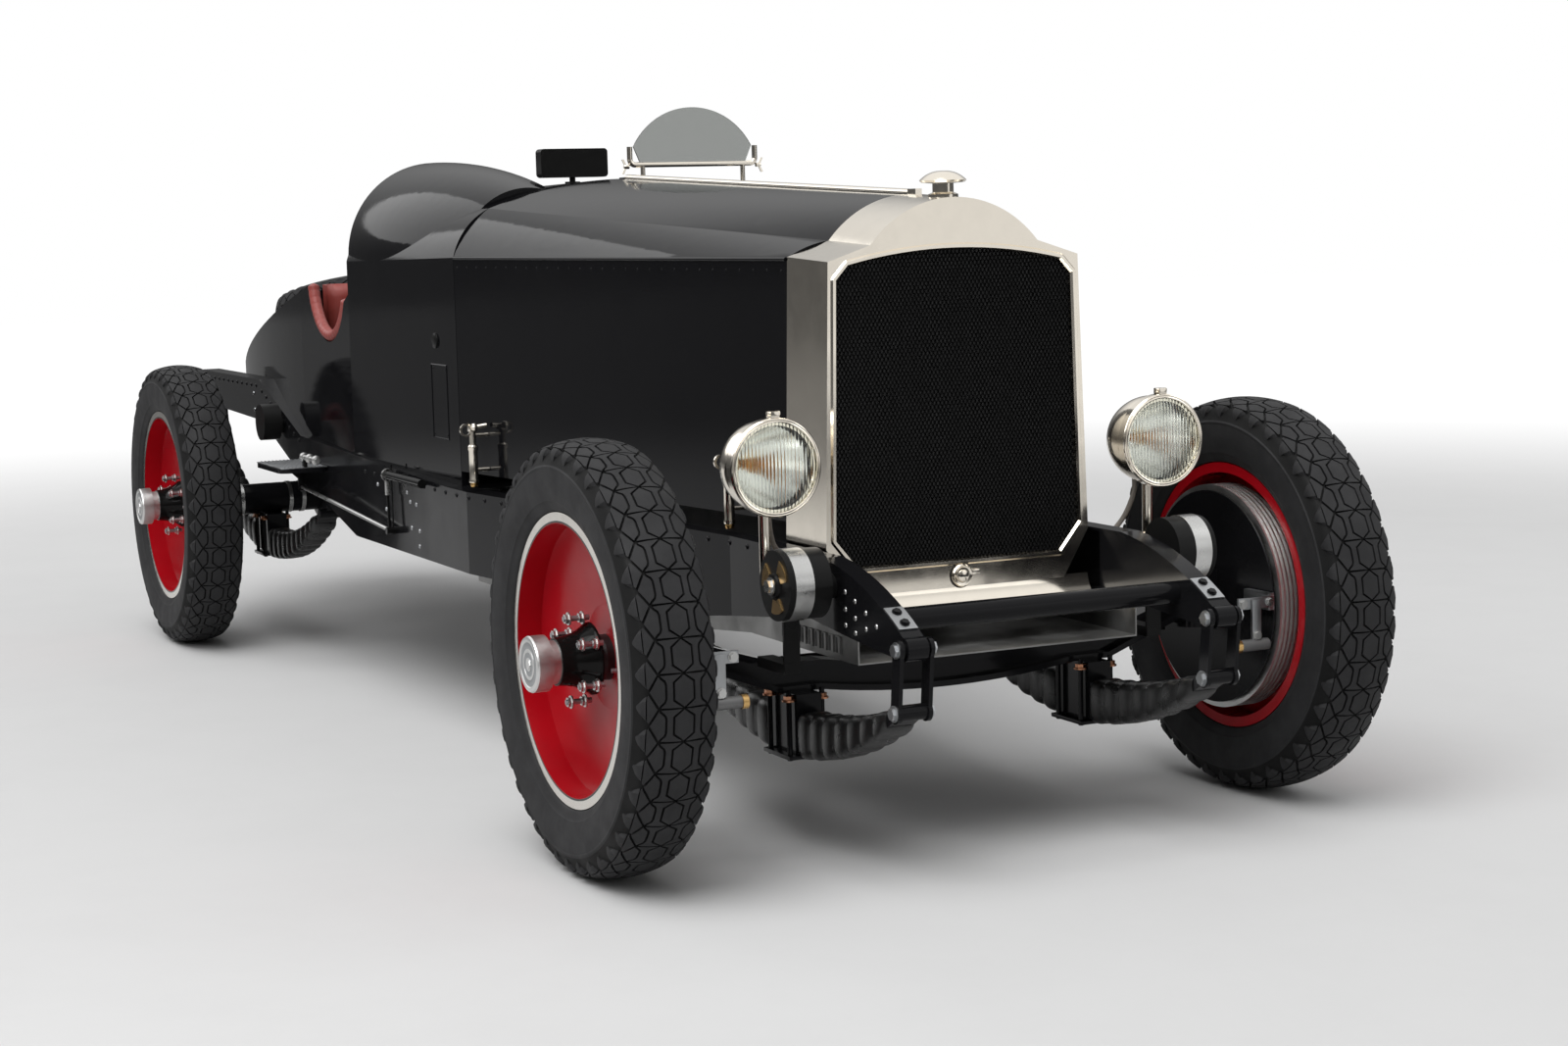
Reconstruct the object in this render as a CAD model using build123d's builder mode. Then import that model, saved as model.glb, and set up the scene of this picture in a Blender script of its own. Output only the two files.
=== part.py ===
"""Vintage two-seat speedster on a ladder frame, in millimetres.

X points forward, Y to the car's left, Z up. The origin is on the ground, midway
between the foremost and the rearmost point of the car.
"""
from build123d import *

import os
from math import atan, atan2, cos, degrees, hypot, radians, sin, sqrt

os.makedirs("parts", exist_ok=True)

# Chassis sizes
wheelbase = 3386
track = 1504
front_overhang = 520
rear_overhang = 1064
seat_gap = 0.3
running_gap = 5
pin_gap = 1
bearing_clearance = 0.05

# Tyres and wheels, measured outboard from the wheel's centre plane
tyre_radius = 420
tyre_width = 165
tyre_crown_drop = 12
tread_width = 132
rim_seat_radius = 268
rim_flange_radius = 283
rim_width = 128
rim_thickness = 6
disc_thickness = 6
disc_rim_offset = 14
disc_dish = 34
disc_bolt_radius = 80
hub_barrel_radius = 44
hub_flange_radius = 100
cap_neck_radius = 42
cap_end_radius = 54
cap_end_width = 32
cap_reach = 138
spindle_radius = 20
spindle_reach = 90
hub_bore_reach = 96
hub_inner_reach = 88
drum_radius = 228
drum_wall = 8
drum_width = 62
drum_face_offset = 30
fin_count = 6
fin_height = 9
fin_width = 4
plate_thickness = 4

# Front axle, kingpins and steering
kingpin_offset = 140
kingpin_radius = 11
axle_boss_radius = 26
axle_boss_height = 70
fork_arm_thickness = 24
axle_flange_width = 52
axle_depth = 60
axle_web = 14
axle_flange_thickness = 12
axle_drop = 95
axle_bow = 22
front_spring_y = 334
steering_arm_length = 150
steering_arm_width = 26
steering_arm_thickness = 16
rod_radius = 13
rod_eye_radius = 20
rod_eye_height = 26
rod_pin_radius = 8
open_pin_gap = 1

# Frame rails
rail_half_gap_front = 313
rail_flange_width = 42
rail_flange_rear = 60
rail_web = 6
rail_body_margin = 5
rail_top = 600
rail_bottom = 400
rail_kick_top = 785
rail_rise = 42
horn_length_flat = 340
horn_eye_z = 466
horn_root_z = 476
horn_eye_radius = 22
cross_tube_back = 150
cross_tube_radius = 22
cross_tube_z = 500
member_width = 70
cradle_height = 28
step_length = 280
step_reach = 140
step_thickness = 12

# Springs
front_spring_reach = 485
front_spring_width = 54
front_spring_top = 275
front_spring_depth = 78
front_eye_z = 348
eye_radius = 15
leaf_end = 12
rear_spring_inset = 23
rear_spring_reach = 640
rear_spring_width = 58
rear_spring_top = 330
rear_spring_depth = 74
rear_eye_front_z = 430
rear_eye_back_z = 560
spring_seat_length = 120
link_thickness = 8
link_radius = 19
link_pin_radius = 14
front_hanger_y = 352

# Rear axle
axle_tube_radius = 46
banjo_radius = 150
banjo_width = 150
axle_ring_y = 300
axle_ring_width = 14
axle_ring_rise = 18
torque_tube_radius = 42
torque_tube_end_back = 1960
torque_tube_front_z = 470

# Radiator
shell_front = 80
shell_depth = 180
shell_sheet = 8
shell_bottom_z = 497
shell_lower_half = 298
shell_lower_z = 600
shell_bottom_half = 236
shell_upper_half = 281
shoulder_z = 1157
arch_half = 188
arch_foot_z = 1187
arch_crown_z = 1276
arch_rise_rear = 9
opening_bottom_z = 561
opening_chamfer_z = 617
opening_bottom_half = 229
opening_lower_half = 275
opening_upper_half = 263
opening_corner_z = 1120
opening_shoulder_half = 238
opening_shoulder_z = 1147
opening_crown_z = 1174
core_recess = 14
core_depth = 90
cap_neck_half = 21
cap_brim_radius = 47
cap_height = 52
opening_bead = 13
opening_bead_rise = 5
apron_forward = 72
apron_low_z = 446
apron_low_half = 296
apron_sheet = 3
hole_cover_radius = 21
hole_cover_z = 529

# Hood
hood_front_back = 103
cowl_back = 1607
panel_sheet = 4
panel_gap = 3
hood_rear_half = 468
hood_rear_arch_half = 372
hood_rear_arch_z = 1281
hood_rear_crown_z = 1348
hinge_z = 1163
hood_side_bottom_z = 636
rod_hinge_radius = 7
hinge_bead_radius = 4
latch_tube_radius = 8
latch_height = 140
latch_stand_off = 40
latch_ring_radius = 16
latch_low_z = 618
latch_front_back = 275
latch_rear_back = 1450

# Body
body_wall = 22
body_half = 505
cowl_rear_back = 2400
cowl_rear_shoulder_z = 1150
cowl_rear_arch_half = 400
cowl_rear_arch_z = 1268
cowl_rear_crown_z = 1334
hump_y = -247
hump_half = 252
hump_crown_z = 1412
hump_mid_back = 2000
hump_mid_crown_z = 1388
hump_start_back = 1660
driver_cut_back = 2150
driver_cut_z = 1010
driver_cut_y = 240
driver_cut_width = 400
dash_low_z = 1030
dash_thickness = 10
hinge_lift = 3
hinge_boss_length = 34
side_front_back = 2450
tail_floor_z = 735
tail_low_z = 645
cockpit_rear_back = 2930
side_low_z = 930
side_front_z = 1040
side_rear_z = 1082
side_low_back = 2580
side_rear_back = 2810
tail_front_inset = 13
tail_mid_back = 3500
tail_mid_inset = 55
tail_end_half = 300
tail_end_radius = 90
deck_front_z = 1060
deck_rear_z = 775
well_radius = 436
well_depth = 80
well_back = 3440
floor_thickness = 20
roll_radius = 16.5
bulkhead_thickness = 6

# Seat
cushion_front_back = 2440
cushion_rear_back = 2830
cushion_top_z = 800
cushion_thickness = 130
seat_side_room = 75
backrest_thickness = 95
backrest_top_z = 1080
soft_gap = 0.3

# Steering wheel and column
steering_y = 205
steering_wheel_back = 2345
steering_wheel_z = 1085
steering_wheel_radius = 205
steering_rim_radius = 14
steering_boss_radius = 34
steering_boss_half = 16
column_radius = 19
column_rake = 24
column_length = 1180

# Windscreen and mirror
screen_back = 1660
screen_y = 206
screen_half = 165
screen_lift = 42
screen_height = 137
screen_glass = 5
frame_tube_radius = 7
screen_post_y = 140
screen_foot_gap = 0.6
mirror_back = 2050
mirror_y = 24
mirror_width = 190
mirror_height = 76
mirror_depth = 40
mirror_z = 1398
mirror_foot_radius = 20

# Headlamps and shock absorbers
lamp_forward = 154
lamp_y = 435
lamp_z = 775
lamp_radius = 88
lamp_rim_radius = 95
lamp_rim_width = 22
lamp_depth = 150
lamp_bowl_wall = 5
lamp_lip = 8
lens_thickness = 6
post_radius = 11
shock_forward = 215
shock_y = 430
shock_z = 560
shock_radius = 67
shock_width = 88
shock_strap_width = 34
shock_strap_thickness = 6
rear_shock_share = 0.33
rear_shock_forward = 250

# Engine
engine_front_back = 260
engine_rear_back = 1290
engine_half = 165
engine_bottom_z = 460
engine_top_z = 1060
gearbox_half = 130
gearbox_rear_back = 1900
gearbox_top_z = 590

# Belly pan
pan_sheet = 3
pan_front_forward = 235
pan_rear_back = 1560
pan_front_z = 396
pan_low_z = 366
pan_lap = 8
pan_low_back = 640

# Places that follow from the sizes above
rail_outer_rear = body_half + rail_body_margin
rear_spring_y = rail_outer_rear - rear_spring_inset
seat_half = body_half - seat_side_room
tail_front_half = body_half - tail_front_inset
tail_mid_half = body_half - tail_mid_inset
screen_low_z = hood_rear_crown_z + screen_lift
screen_top_z = screen_low_z + screen_height
overall_length = front_overhang + wheelbase + rear_overhang
front_x = overall_length / 2 - front_overhang
rear_x = front_x - wheelbase
wheel_y = track / 2
kingpin_y = wheel_y - kingpin_offset
drum_mouth = drum_face_offset + drum_width
plate_face = drum_mouth + running_gap
cowl_x = front_x - cowl_back
hood_x = front_x - hood_front_back
shell_x = front_x + shell_front
cockpit_x = front_x - cowl_rear_back
tail_x = front_x - cockpit_rear_back
tail_end_x = rear_x - rear_overhang


def finish(builder, name):
    """Label a finished piece and write it as its own STEP file."""
    builder.part.label = name
    export_step(builder.part, f"parts/{name}.step")


def wheel_plane(x, side):
    """Plane through a wheel's axis: local x is outboard, local y is the radius."""
    return Plane(origin=(x, side * wheel_y, tyre_radius), x_dir=(0, side, 0), z_dir=(side, 0, 0))


def wheel_axis(x, side):
    return Axis((x, side * wheel_y, tyre_radius), (0, side, 0))


# Wheels
def build_tyre(name, plane, axis):
    bead_half = rim_width / 2 - 12
    bulge_z = rim_seat_radius + (tyre_radius - rim_seat_radius) * 0.5
    shoulder_r = tyre_radius - tyre_crown_drop
    with BuildPart() as tyre:
        with BuildSketch(plane):
            with BuildLine():
                inner = rim_seat_radius + seat_gap
                Line((-bead_half, inner), (bead_half, inner))
                Line((bead_half, inner), (bead_half + 3, rim_flange_radius))
                ThreePointArc(
                    (bead_half + 3, rim_flange_radius), (tyre_width / 2, bulge_z),
                    (tread_width / 2, shoulder_r),
                )
                ThreePointArc(
                    (tread_width / 2, shoulder_r), (0, tyre_radius), (-tread_width / 2, shoulder_r)
                )
                ThreePointArc(
                    (-tread_width / 2, shoulder_r), (-tyre_width / 2, bulge_z),
                    (-bead_half - 3, rim_flange_radius),
                )
                Line((-bead_half - 3, rim_flange_radius), (-bead_half, inner))
            make_face()
        revolve(axis=axis)
    finish(tyre, name)


def build_disc(name, plane, axis):
    half = rim_width / 2
    inner = rim_seat_radius - rim_thickness
    centre = disc_rim_offset - disc_dish
    bore = hub_barrel_radius + seat_gap
    with BuildPart() as disc:
        with BuildSketch(plane):
            with BuildLine():
                Polyline(
                    (-half, inner), (half, inner), (half, rim_flange_radius),
                    (half - rim_thickness, rim_flange_radius), (half - rim_thickness, rim_seat_radius),
                    (-half + rim_thickness, rim_seat_radius),
                    (-half + rim_thickness, rim_flange_radius), (-half, rim_flange_radius),
                    close=True,
                )
            make_face()
            with BuildLine():
                mid = (inner + disc_bolt_radius) / 2
                sag = disc_dish * 0.32
                Line((disc_rim_offset, inner + 1), (disc_rim_offset - disc_thickness, inner + 1))
                ThreePointArc(
                    (disc_rim_offset - disc_thickness, inner + 1),
                    (centre + sag - disc_thickness, mid),
                    (centre - disc_thickness, hub_flange_radius),
                )
                Line((centre - disc_thickness, hub_flange_radius), (centre - disc_thickness, bore))
                Line((centre - disc_thickness, bore), (centre, bore))
                Line((centre, bore), (centre, hub_flange_radius))
                ThreePointArc(
                    (centre, hub_flange_radius), (centre + sag, mid), (disc_rim_offset, inner + 1)
                )
            make_face()
        revolve(axis=axis)
    finish(disc, name)


def build_hub(name, plane, axis, finned):
    face = -drum_face_offset
    mouth = -drum_mouth
    disc_back = disc_rim_offset - disc_dish - disc_thickness
    bore = spindle_radius + bearing_clearance
    with BuildPart() as hub:
        with BuildSketch(plane):
            with BuildLine():
                Polyline(
                    (-hub_inner_reach, bore), (hub_bore_reach, bore), (hub_bore_reach, 0),
                    (cap_reach, 0), (cap_reach, cap_end_radius - 3), (cap_reach - 3, cap_end_radius),
                    (cap_reach - cap_end_width, cap_end_radius),
                    (cap_reach - cap_end_width - 3, cap_neck_radius), (58, cap_neck_radius),
                    (50, hub_barrel_radius - 12), (20, hub_barrel_radius - 8),
                    (-6, hub_barrel_radius), (disc_back - seat_gap, hub_barrel_radius),
                    (disc_back - seat_gap, hub_flange_radius), (face, hub_flange_radius),
                    (face - 2, drum_radius - 6), (face - 6, drum_radius), (mouth, drum_radius),
                    (mouth, drum_radius - drum_wall), (face - drum_wall, drum_radius - drum_wall),
                    (face - drum_wall, hub_barrel_radius + 12), (-hub_inner_reach, hub_barrel_radius),
                    close=True,
                )
            make_face()
            if finned:
                pitch = (drum_width - 6 - fin_width) / (fin_count - 1)
                for index in range(fin_count):
                    with Locations((mouth + fin_width / 2 + index * pitch, drum_radius + fin_height / 2)):
                        Rectangle(fin_width, fin_height + 2)
        revolve(axis=axis)
    finish(hub, name)


for x, end in ((front_x, "front"), (rear_x, "rear")):
    for side, hand in ((1, "left"), (-1, "right")):
        plane = wheel_plane(x, side)
        axis = wheel_axis(x, side)
        build_tyre(f"tyre_{end}_{hand}", plane, axis)
        build_disc(f"disc_{end}_{hand}", plane, axis)
        build_hub(f"hub_{end}_{hand}", plane, axis, finned=(end == "front"))


# Steering knuckles with their kingpins and brake plates
half_boss = axle_boss_height / 2
fork_top = half_boss + pin_gap + fork_arm_thickness
arm_bottom_z = tyre_radius - fork_top
rod_eye_top = arm_bottom_z - pin_gap
rod_z = rod_eye_top - rod_eye_height / 2


def build_knuckle(name, side):
    plate_y = side * (wheel_y - plate_face)
    fork_y = side * (wheel_y - plate_face - plate_thickness)
    web_inner = axle_boss_radius + running_gap
    with BuildPart() as knuckle:
        with BuildSketch(Plane((front_x, plate_y, tyre_radius), x_dir=(1, 0, 0), z_dir=(0, -side, 0))):
            Circle(drum_radius - 2)
        extrude(amount=plate_thickness)
        with BuildSketch(Plane((front_x, plate_y, tyre_radius), x_dir=(1, 0, 0), z_dir=(0, side, 0))):
            Circle(spindle_radius)
        extrude(amount=plate_face + spindle_reach)
        with BuildSketch(Plane.XY.offset(tyre_radius - fork_top)):
            with Locations((front_x, (fork_y + side * (kingpin_y + web_inner)) / 2)):
                Rectangle(2 * axle_boss_radius, abs(fork_y) - kingpin_y - web_inner)
        extrude(amount=2 * fork_top)
        for bottom in (-fork_top, half_boss + pin_gap):
            with BuildSketch(Plane.XY.offset(tyre_radius + bottom)):
                with Locations((front_x, side * kingpin_y)):
                    Circle(axle_boss_radius)
                with Locations((front_x, (fork_y + side * kingpin_y) / 2)):
                    Rectangle(2 * axle_boss_radius, abs(fork_y) - kingpin_y)
            extrude(amount=fork_arm_thickness)
        with BuildSketch(Plane.XY.offset(tyre_radius - fork_top)):
            with Locations((front_x, side * kingpin_y)):
                Circle(kingpin_radius)
        extrude(amount=2 * fork_top)
        with BuildSketch(Plane.XY.offset(arm_bottom_z)):
            with Locations((front_x - steering_arm_length / 2, side * kingpin_y)):
                Rectangle(steering_arm_length, steering_arm_width)
            with Locations((front_x - steering_arm_length, side * kingpin_y)):
                Circle(steering_arm_width / 2)
        extrude(amount=steering_arm_thickness)
        with BuildSketch(Plane.XY.offset(rod_eye_top - rod_eye_height)):
            with Locations((front_x - steering_arm_length, side * kingpin_y)):
                Circle(rod_pin_radius)
        extrude(amount=rod_eye_height + pin_gap + 1)
    finish(knuckle, name)


build_knuckle("knuckle_left", 1)
build_knuckle("knuckle_right", -1)

with BuildPart() as tie_rod:
    rod_x = front_x - steering_arm_length
    eye_reach = kingpin_y - rod_eye_radius + 4
    with BuildSketch(Plane((rod_x, -eye_reach, rod_z), x_dir=(1, 0, 0), z_dir=(0, 1, 0))):
        Circle(rod_radius)
    extrude(amount=2 * eye_reach)
    for side in (1, -1):
        with BuildSketch(Plane.XY.offset(rod_eye_top - rod_eye_height)):
            with Locations((rod_x, side * kingpin_y)):
                Circle(rod_eye_radius)
        extrude(amount=rod_eye_height)
    for side, clearance in ((1, bearing_clearance), (-1, open_pin_gap)):
        with BuildSketch(Plane.XY.offset(rod_eye_top - rod_eye_height)):
            with Locations((rod_x, side * kingpin_y)):
                Circle(rod_pin_radius + clearance)
        extrude(amount=rod_eye_height, mode=Mode.SUBTRACT)
finish(tie_rod, "tie_rod")


# Front axle: a dropped I-beam with a kingpin boss at each end
beam_centre_z = tyre_radius - axle_drop
pad_z = beam_centre_z + axle_bow


def beam_face(inset):
    """Front view of the axle beam, drawn inwards from its edges by inset."""
    half = axle_depth / 2 - inset
    end_half = half * 0.8
    beam_end = kingpin_y - axle_boss_radius + 4 - inset
    arc_end = front_spring_y - 45
    pad_end = front_spring_y + 45
    with BuildSketch() as face:
        with BuildLine():
            for sign in (1, -1):
                edge = pad_z + sign * half
                ThreePointArc((-arc_end, edge), (0, beam_centre_z + sign * half), (arc_end, edge))
                for side in (1, -1):
                    Line((side * arc_end, edge), (side * pad_end, edge))
                    Line((side * pad_end, edge), (side * beam_end, tyre_radius + sign * end_half))
            for side in (1, -1):
                Line((side * beam_end, tyre_radius + end_half), (side * beam_end, tyre_radius - end_half))
        make_face()
    return face.sketch


with BuildPart() as front_axle:
    with BuildSketch(Plane.YZ.offset(front_x)):
        add(beam_face(0))
    extrude(amount=axle_flange_width / 2, both=True)
    for side in (1, -1):
        with BuildSketch(Plane.YZ.offset(front_x + side * axle_web / 2)):
            add(beam_face(axle_flange_thickness))
        extrude(amount=side * axle_flange_width, mode=Mode.SUBTRACT)
    with BuildSketch(Plane.XY.offset(tyre_radius - half_boss)):
        with Locations((front_x, kingpin_y), (front_x, -kingpin_y)):
            Circle(axle_boss_radius)
    extrude(amount=axle_boss_height)
    with BuildSketch(Plane.XY.offset(tyre_radius - half_boss)):
        with Locations((front_x, kingpin_y), (front_x, -kingpin_y)):
            Circle(kingpin_radius + bearing_clearance)
    extrude(amount=axle_boss_height, mode=Mode.SUBTRACT)
finish(front_axle, "front_axle")


# Frame rails: channels that open inwards, with horns, kick-up and step plates
horn_start_x = front_x + front_overhang - horn_length_flat
horn_tip_x = front_x + front_overhang - horn_eye_radius
kick_start_x = tail_x - 1
kick_end_x = rear_x + 10
rail_end_x = tail_end_x + 330
widen_front_x = front_x - 250
widen_rear_x = front_x - 1450


def rail_outline(inset):
    """Side view of a rail, drawn inwards from its edges by inset."""
    top = rail_top - inset
    low = rail_bottom + inset
    kick = rail_kick_top - inset
    horn = horn_eye_radius - inset
    with BuildLine() as outline:
        Line((rail_end_x + inset, kick), (kick_end_x, kick))
        Line((kick_end_x, kick), (kick_start_x - inset * 0.2, top + rail_rise))
        Line((kick_start_x - inset * 0.2, top + rail_rise), (cowl_x, top))
        Line((cowl_x, top), (horn_start_x, top))
        ThreePointArc(
            (horn_start_x, top), (horn_start_x + 200, horn_eye_z + 82 - inset),
            (horn_tip_x, horn_eye_z + horn),
        )
        ThreePointArc(
            (horn_tip_x, horn_eye_z + horn), (horn_tip_x + horn, horn_eye_z),
            (horn_tip_x, horn_eye_z - horn),
        )
        ThreePointArc(
            (horn_tip_x, horn_eye_z - horn), (horn_start_x + 150, horn_eye_z - 10 + inset),
            (horn_start_x - 60, horn_root_z + inset),
        )
        Line((horn_start_x - 60, horn_root_z + inset), (front_x - 560, low))
        Line((front_x - 560, low), (front_x - 2400, low))
        Line((front_x - 2400, low), (kick_start_x, 520 + inset))
        Line((kick_start_x, 520 + inset), (kick_end_x + 20, 660 + inset))
        Line((kick_end_x + 20, 660 + inset), (rail_end_x + inset, 680 + inset))
        Line((rail_end_x + inset, 680 + inset), (rail_end_x + inset, kick))
    return outline.line


def rail_plan(near, near_rear, far_front, far_rear, start_x):
    """Plan view of one rail from inner offset near to the outer lines."""
    with BuildLine() as plan:
        Polyline(
            (start_x, near), (widen_front_x, near),
            (widen_rear_x, near_rear), (rail_end_x - 50, near_rear),
            (rail_end_x - 50, far_rear), (widen_rear_x, far_rear), (widen_front_x, far_front),
            (start_x, far_front), close=True,
        )
    return plan.line


rail_outer_front = rail_half_gap_front + rail_flange_width


def rail_low_z(x):
    """Height of the rail's underside at x."""
    corners = (
        (horn_start_x - 60, horn_root_z), (front_x - 560, rail_bottom), (front_x - 2400, rail_bottom),
        (kick_start_x, 520), (kick_end_x + 20, 660), (rail_end_x, 680),
    )
    for (x1, z1), (x2, z2) in zip(corners, corners[1:]):
        if x >= x2:
            return z1 + (z2 - z1) * (x1 - x) / (x1 - x2)
    return corners[-1][1]


def rail_plan_outer(x):
    """Distance of the rail's outer face from the centre plane at x."""
    share = min(max((widen_front_x - x) / (widen_front_x - widen_rear_x), 0), 1)
    return rail_outer_front + (rail_outer_rear - rail_outer_front) * share


with BuildPart() as rail_pocket:
    with BuildSketch(Plane.XZ):
        add(rail_outline(rail_web))
        make_face()
    extrude(amount=-700)
    with BuildSketch(Plane.XY):
        add(rail_plan(
            rail_half_gap_front - 1, rail_outer_rear - rail_flange_rear - 1,
            rail_outer_front - rail_web, rail_outer_rear - rail_web,
            horn_start_x - 80,
        ))
        make_face()
    extrude(amount=1000, mode=Mode.INTERSECT)

with BuildPart() as frame_rails:
    with BuildSketch(Plane.XZ):
        add(rail_outline(0))
        make_face()
    extrude(amount=-700)
    with BuildSketch(Plane.XY):
        add(rail_plan(
            rail_half_gap_front, rail_outer_rear - rail_flange_rear, rail_outer_front,
            rail_outer_rear, front_x + front_overhang + 50,
        ))
        make_face()
    extrude(amount=1000, mode=Mode.INTERSECT)
    add(rail_pocket.part, mode=Mode.SUBTRACT)
    step_x = kick_start_x + 150
    with BuildSketch(Plane.XY.offset(rail_top - 40)):
        with Locations((step_x, rail_outer_rear - 2)):
            Rectangle(step_length * 0.5, 4)
        with Locations((step_x, rail_outer_rear + step_reach / 2)):
            RectangleRounded(step_length, step_reach, 30)
    extrude(amount=step_thickness)
    with BuildSketch(Plane((0, rail_outer_rear, 0), x_dir=(0, 1, 0), z_dir=(1, 0, 0)).offset(step_x - 8)):
        with BuildLine():
            Polyline(
                (-1, rail_top - 39), (step_reach * 0.6, rail_top - 39), (-1, rail_top - 120), close=True
            )
        make_face()
    extrude(amount=16)
    mirror(about=Plane.XZ)
finish(frame_rails, "frame_rails")


# Cross-members that tie the rails together
with BuildPart() as frame_crossmembers:
    tube_x = front_x + front_overhang - cross_tube_back
    with BuildSketch(Plane((tube_x, -rail_half_gap_front, cross_tube_z), x_dir=(1, 0, 0), z_dir=(0, 1, 0))):
        Circle(cross_tube_radius)
    extrude(amount=2 * rail_half_gap_front)
    rear_inner = rail_outer_rear - rail_web
    cradle_z = engine_bottom_z - seat_gap - cradle_height
    cradles = (front_x - engine_front_back - 160, front_x - engine_rear_back - 140)
    members = (
        (cradles[0], cradle_z, cradle_height, rail_plan_outer(cradles[0] + member_width / 2) - rail_web),
        (cradles[1], cradle_z, cradle_height, rail_plan_outer(cradles[1] + member_width / 2) - rail_web),
        (front_x - 2250, 526, 64, rear_inner),
        (rear_x + 180, 634, 50, rear_inner),
        (rail_end_x + 60, 689, 42, rear_inner),
    )
    for x, z, height, reach in members:
        with BuildSketch(Plane((x, -reach, z), x_dir=(1, 0, 0), z_dir=(0, 1, 0))):
            Rectangle(member_width, height, align=(Align.CENTER, Align.MAX))
            with Locations((0, 1)):
                Rectangle(
                    member_width - 12, height - 5, align=(Align.CENTER, Align.MAX), mode=Mode.SUBTRACT
                )
        extrude(amount=2 * reach)
finish(frame_crossmembers, "frame_crossmembers")


# Leaf springs with their clamps, shackles and hangers
def spring_face(x, reach, top, depth, front_z, rear_z):
    """Side view of one leaf pack, thick at its middle and thin at its eyes."""
    half = leaf_end / 2
    with BuildSketch() as face:
        with BuildLine():
            ThreePointArc((x + reach, front_z + half), (x, top), (x - reach, rear_z + half))
            Line((x - reach, rear_z + half), (x - reach, rear_z - half))
            ThreePointArc((x - reach, rear_z - half), (x, top - depth), (x + reach, front_z - half))
            Line((x + reach, front_z - half), (x + reach, front_z + half))
        make_face()
    return face.sketch


def link_face(upper, lower, width):
    """Side view of a shackle link between two pins."""
    run = Vector(upper) - Vector(lower)
    with BuildSketch() as face:
        with Locations(lower, upper):
            Circle(width)
        with Locations((Vector(upper) + Vector(lower)) / 2):
            Rectangle(run.length, 2 * width - 8, rotation=degrees(atan2(run.Y, run.X)))
    return face.sketch


with BuildPart() as leaf_springs:
    front_eyes = (front_x + front_spring_reach, front_x - front_spring_reach)
    with BuildSketch(Plane.XZ.offset(-front_spring_y)):
        add(spring_face(
            front_x, front_spring_reach, front_spring_top, front_spring_depth, front_eye_z, front_eye_z
        ))
        with Locations(*((x, front_eye_z) for x in front_eyes)):
            Circle(eye_radius)
        with Locations((front_x, front_spring_top - 2)):
            Rectangle(spring_seat_length, pad_z - axle_depth / 2 - front_spring_top + 2,
                      align=(Align.CENTER, Align.MIN))
    extrude(amount=front_spring_width / 2, both=True)
    rear_eyes = (
        (rear_x + rear_spring_reach, rear_eye_front_z), (rear_x - rear_spring_reach, rear_eye_back_z)
    )
    with BuildSketch(Plane.XZ.offset(-rear_spring_y)):
        add(spring_face(
            rear_x, rear_spring_reach, rear_spring_top, rear_spring_depth, rear_eye_front_z,
            rear_eye_back_z,
        ))
        with Locations(*rear_eyes):
            Circle(eye_radius)
        with Locations((rear_x, rear_spring_top - 2)):
            Rectangle(spring_seat_length, tyre_radius - axle_tube_radius - rear_spring_top + 2,
                      align=(Align.CENTER, Align.MIN))
    extrude(amount=rear_spring_width / 2, both=True)
    # Shackle links hang from the horns and the rear of the rails
    for sign in (1, -1):
        link_y = front_spring_y + sign * (front_spring_width / 2)
        with BuildSketch(Plane.XZ.offset(-link_y)):
            add(link_face((horn_tip_x, horn_eye_z), (front_eyes[0], front_eye_z), link_radius))
        extrude(amount=-sign * link_thickness)
        with BuildSketch(Plane.XZ.offset(-link_y)):
            with Locations((horn_tip_x, horn_eye_z)):
                Circle(link_pin_radius)
        extrude(amount=sign * (front_spring_width / 2 - rail_flange_width / 2 - seat_gap))
        link_y = rear_spring_y + sign * (rear_spring_width / 2)
        link_top_x = rear_eyes[1][0] - 20
        link_top_z = rail_low_z(link_top_x + link_radius) - link_radius - seat_gap
        with BuildSketch(Plane.XZ.offset(-link_y)):
            add(link_face((link_top_x, link_top_z), rear_eyes[1], link_radius))
        extrude(amount=-sign * link_thickness)
    for x, z, y in (
        (front_eyes[1], front_eye_z, front_hanger_y),
        (rear_eyes[0][0], rear_eye_front_z, rear_spring_y),
    ):
        top = min(rail_low_z(x - 13), rail_low_z(x + 13)) - seat_gap
        with BuildSketch(Plane.XZ.offset(-y)):
            with Locations((x, z)):
                Rectangle(26, top - z, align=(Align.CENTER, Align.MIN))
        extrude(amount=9, both=True)
    mirror(about=Plane.XZ)
finish(leaf_springs, "leaf_springs")


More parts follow.
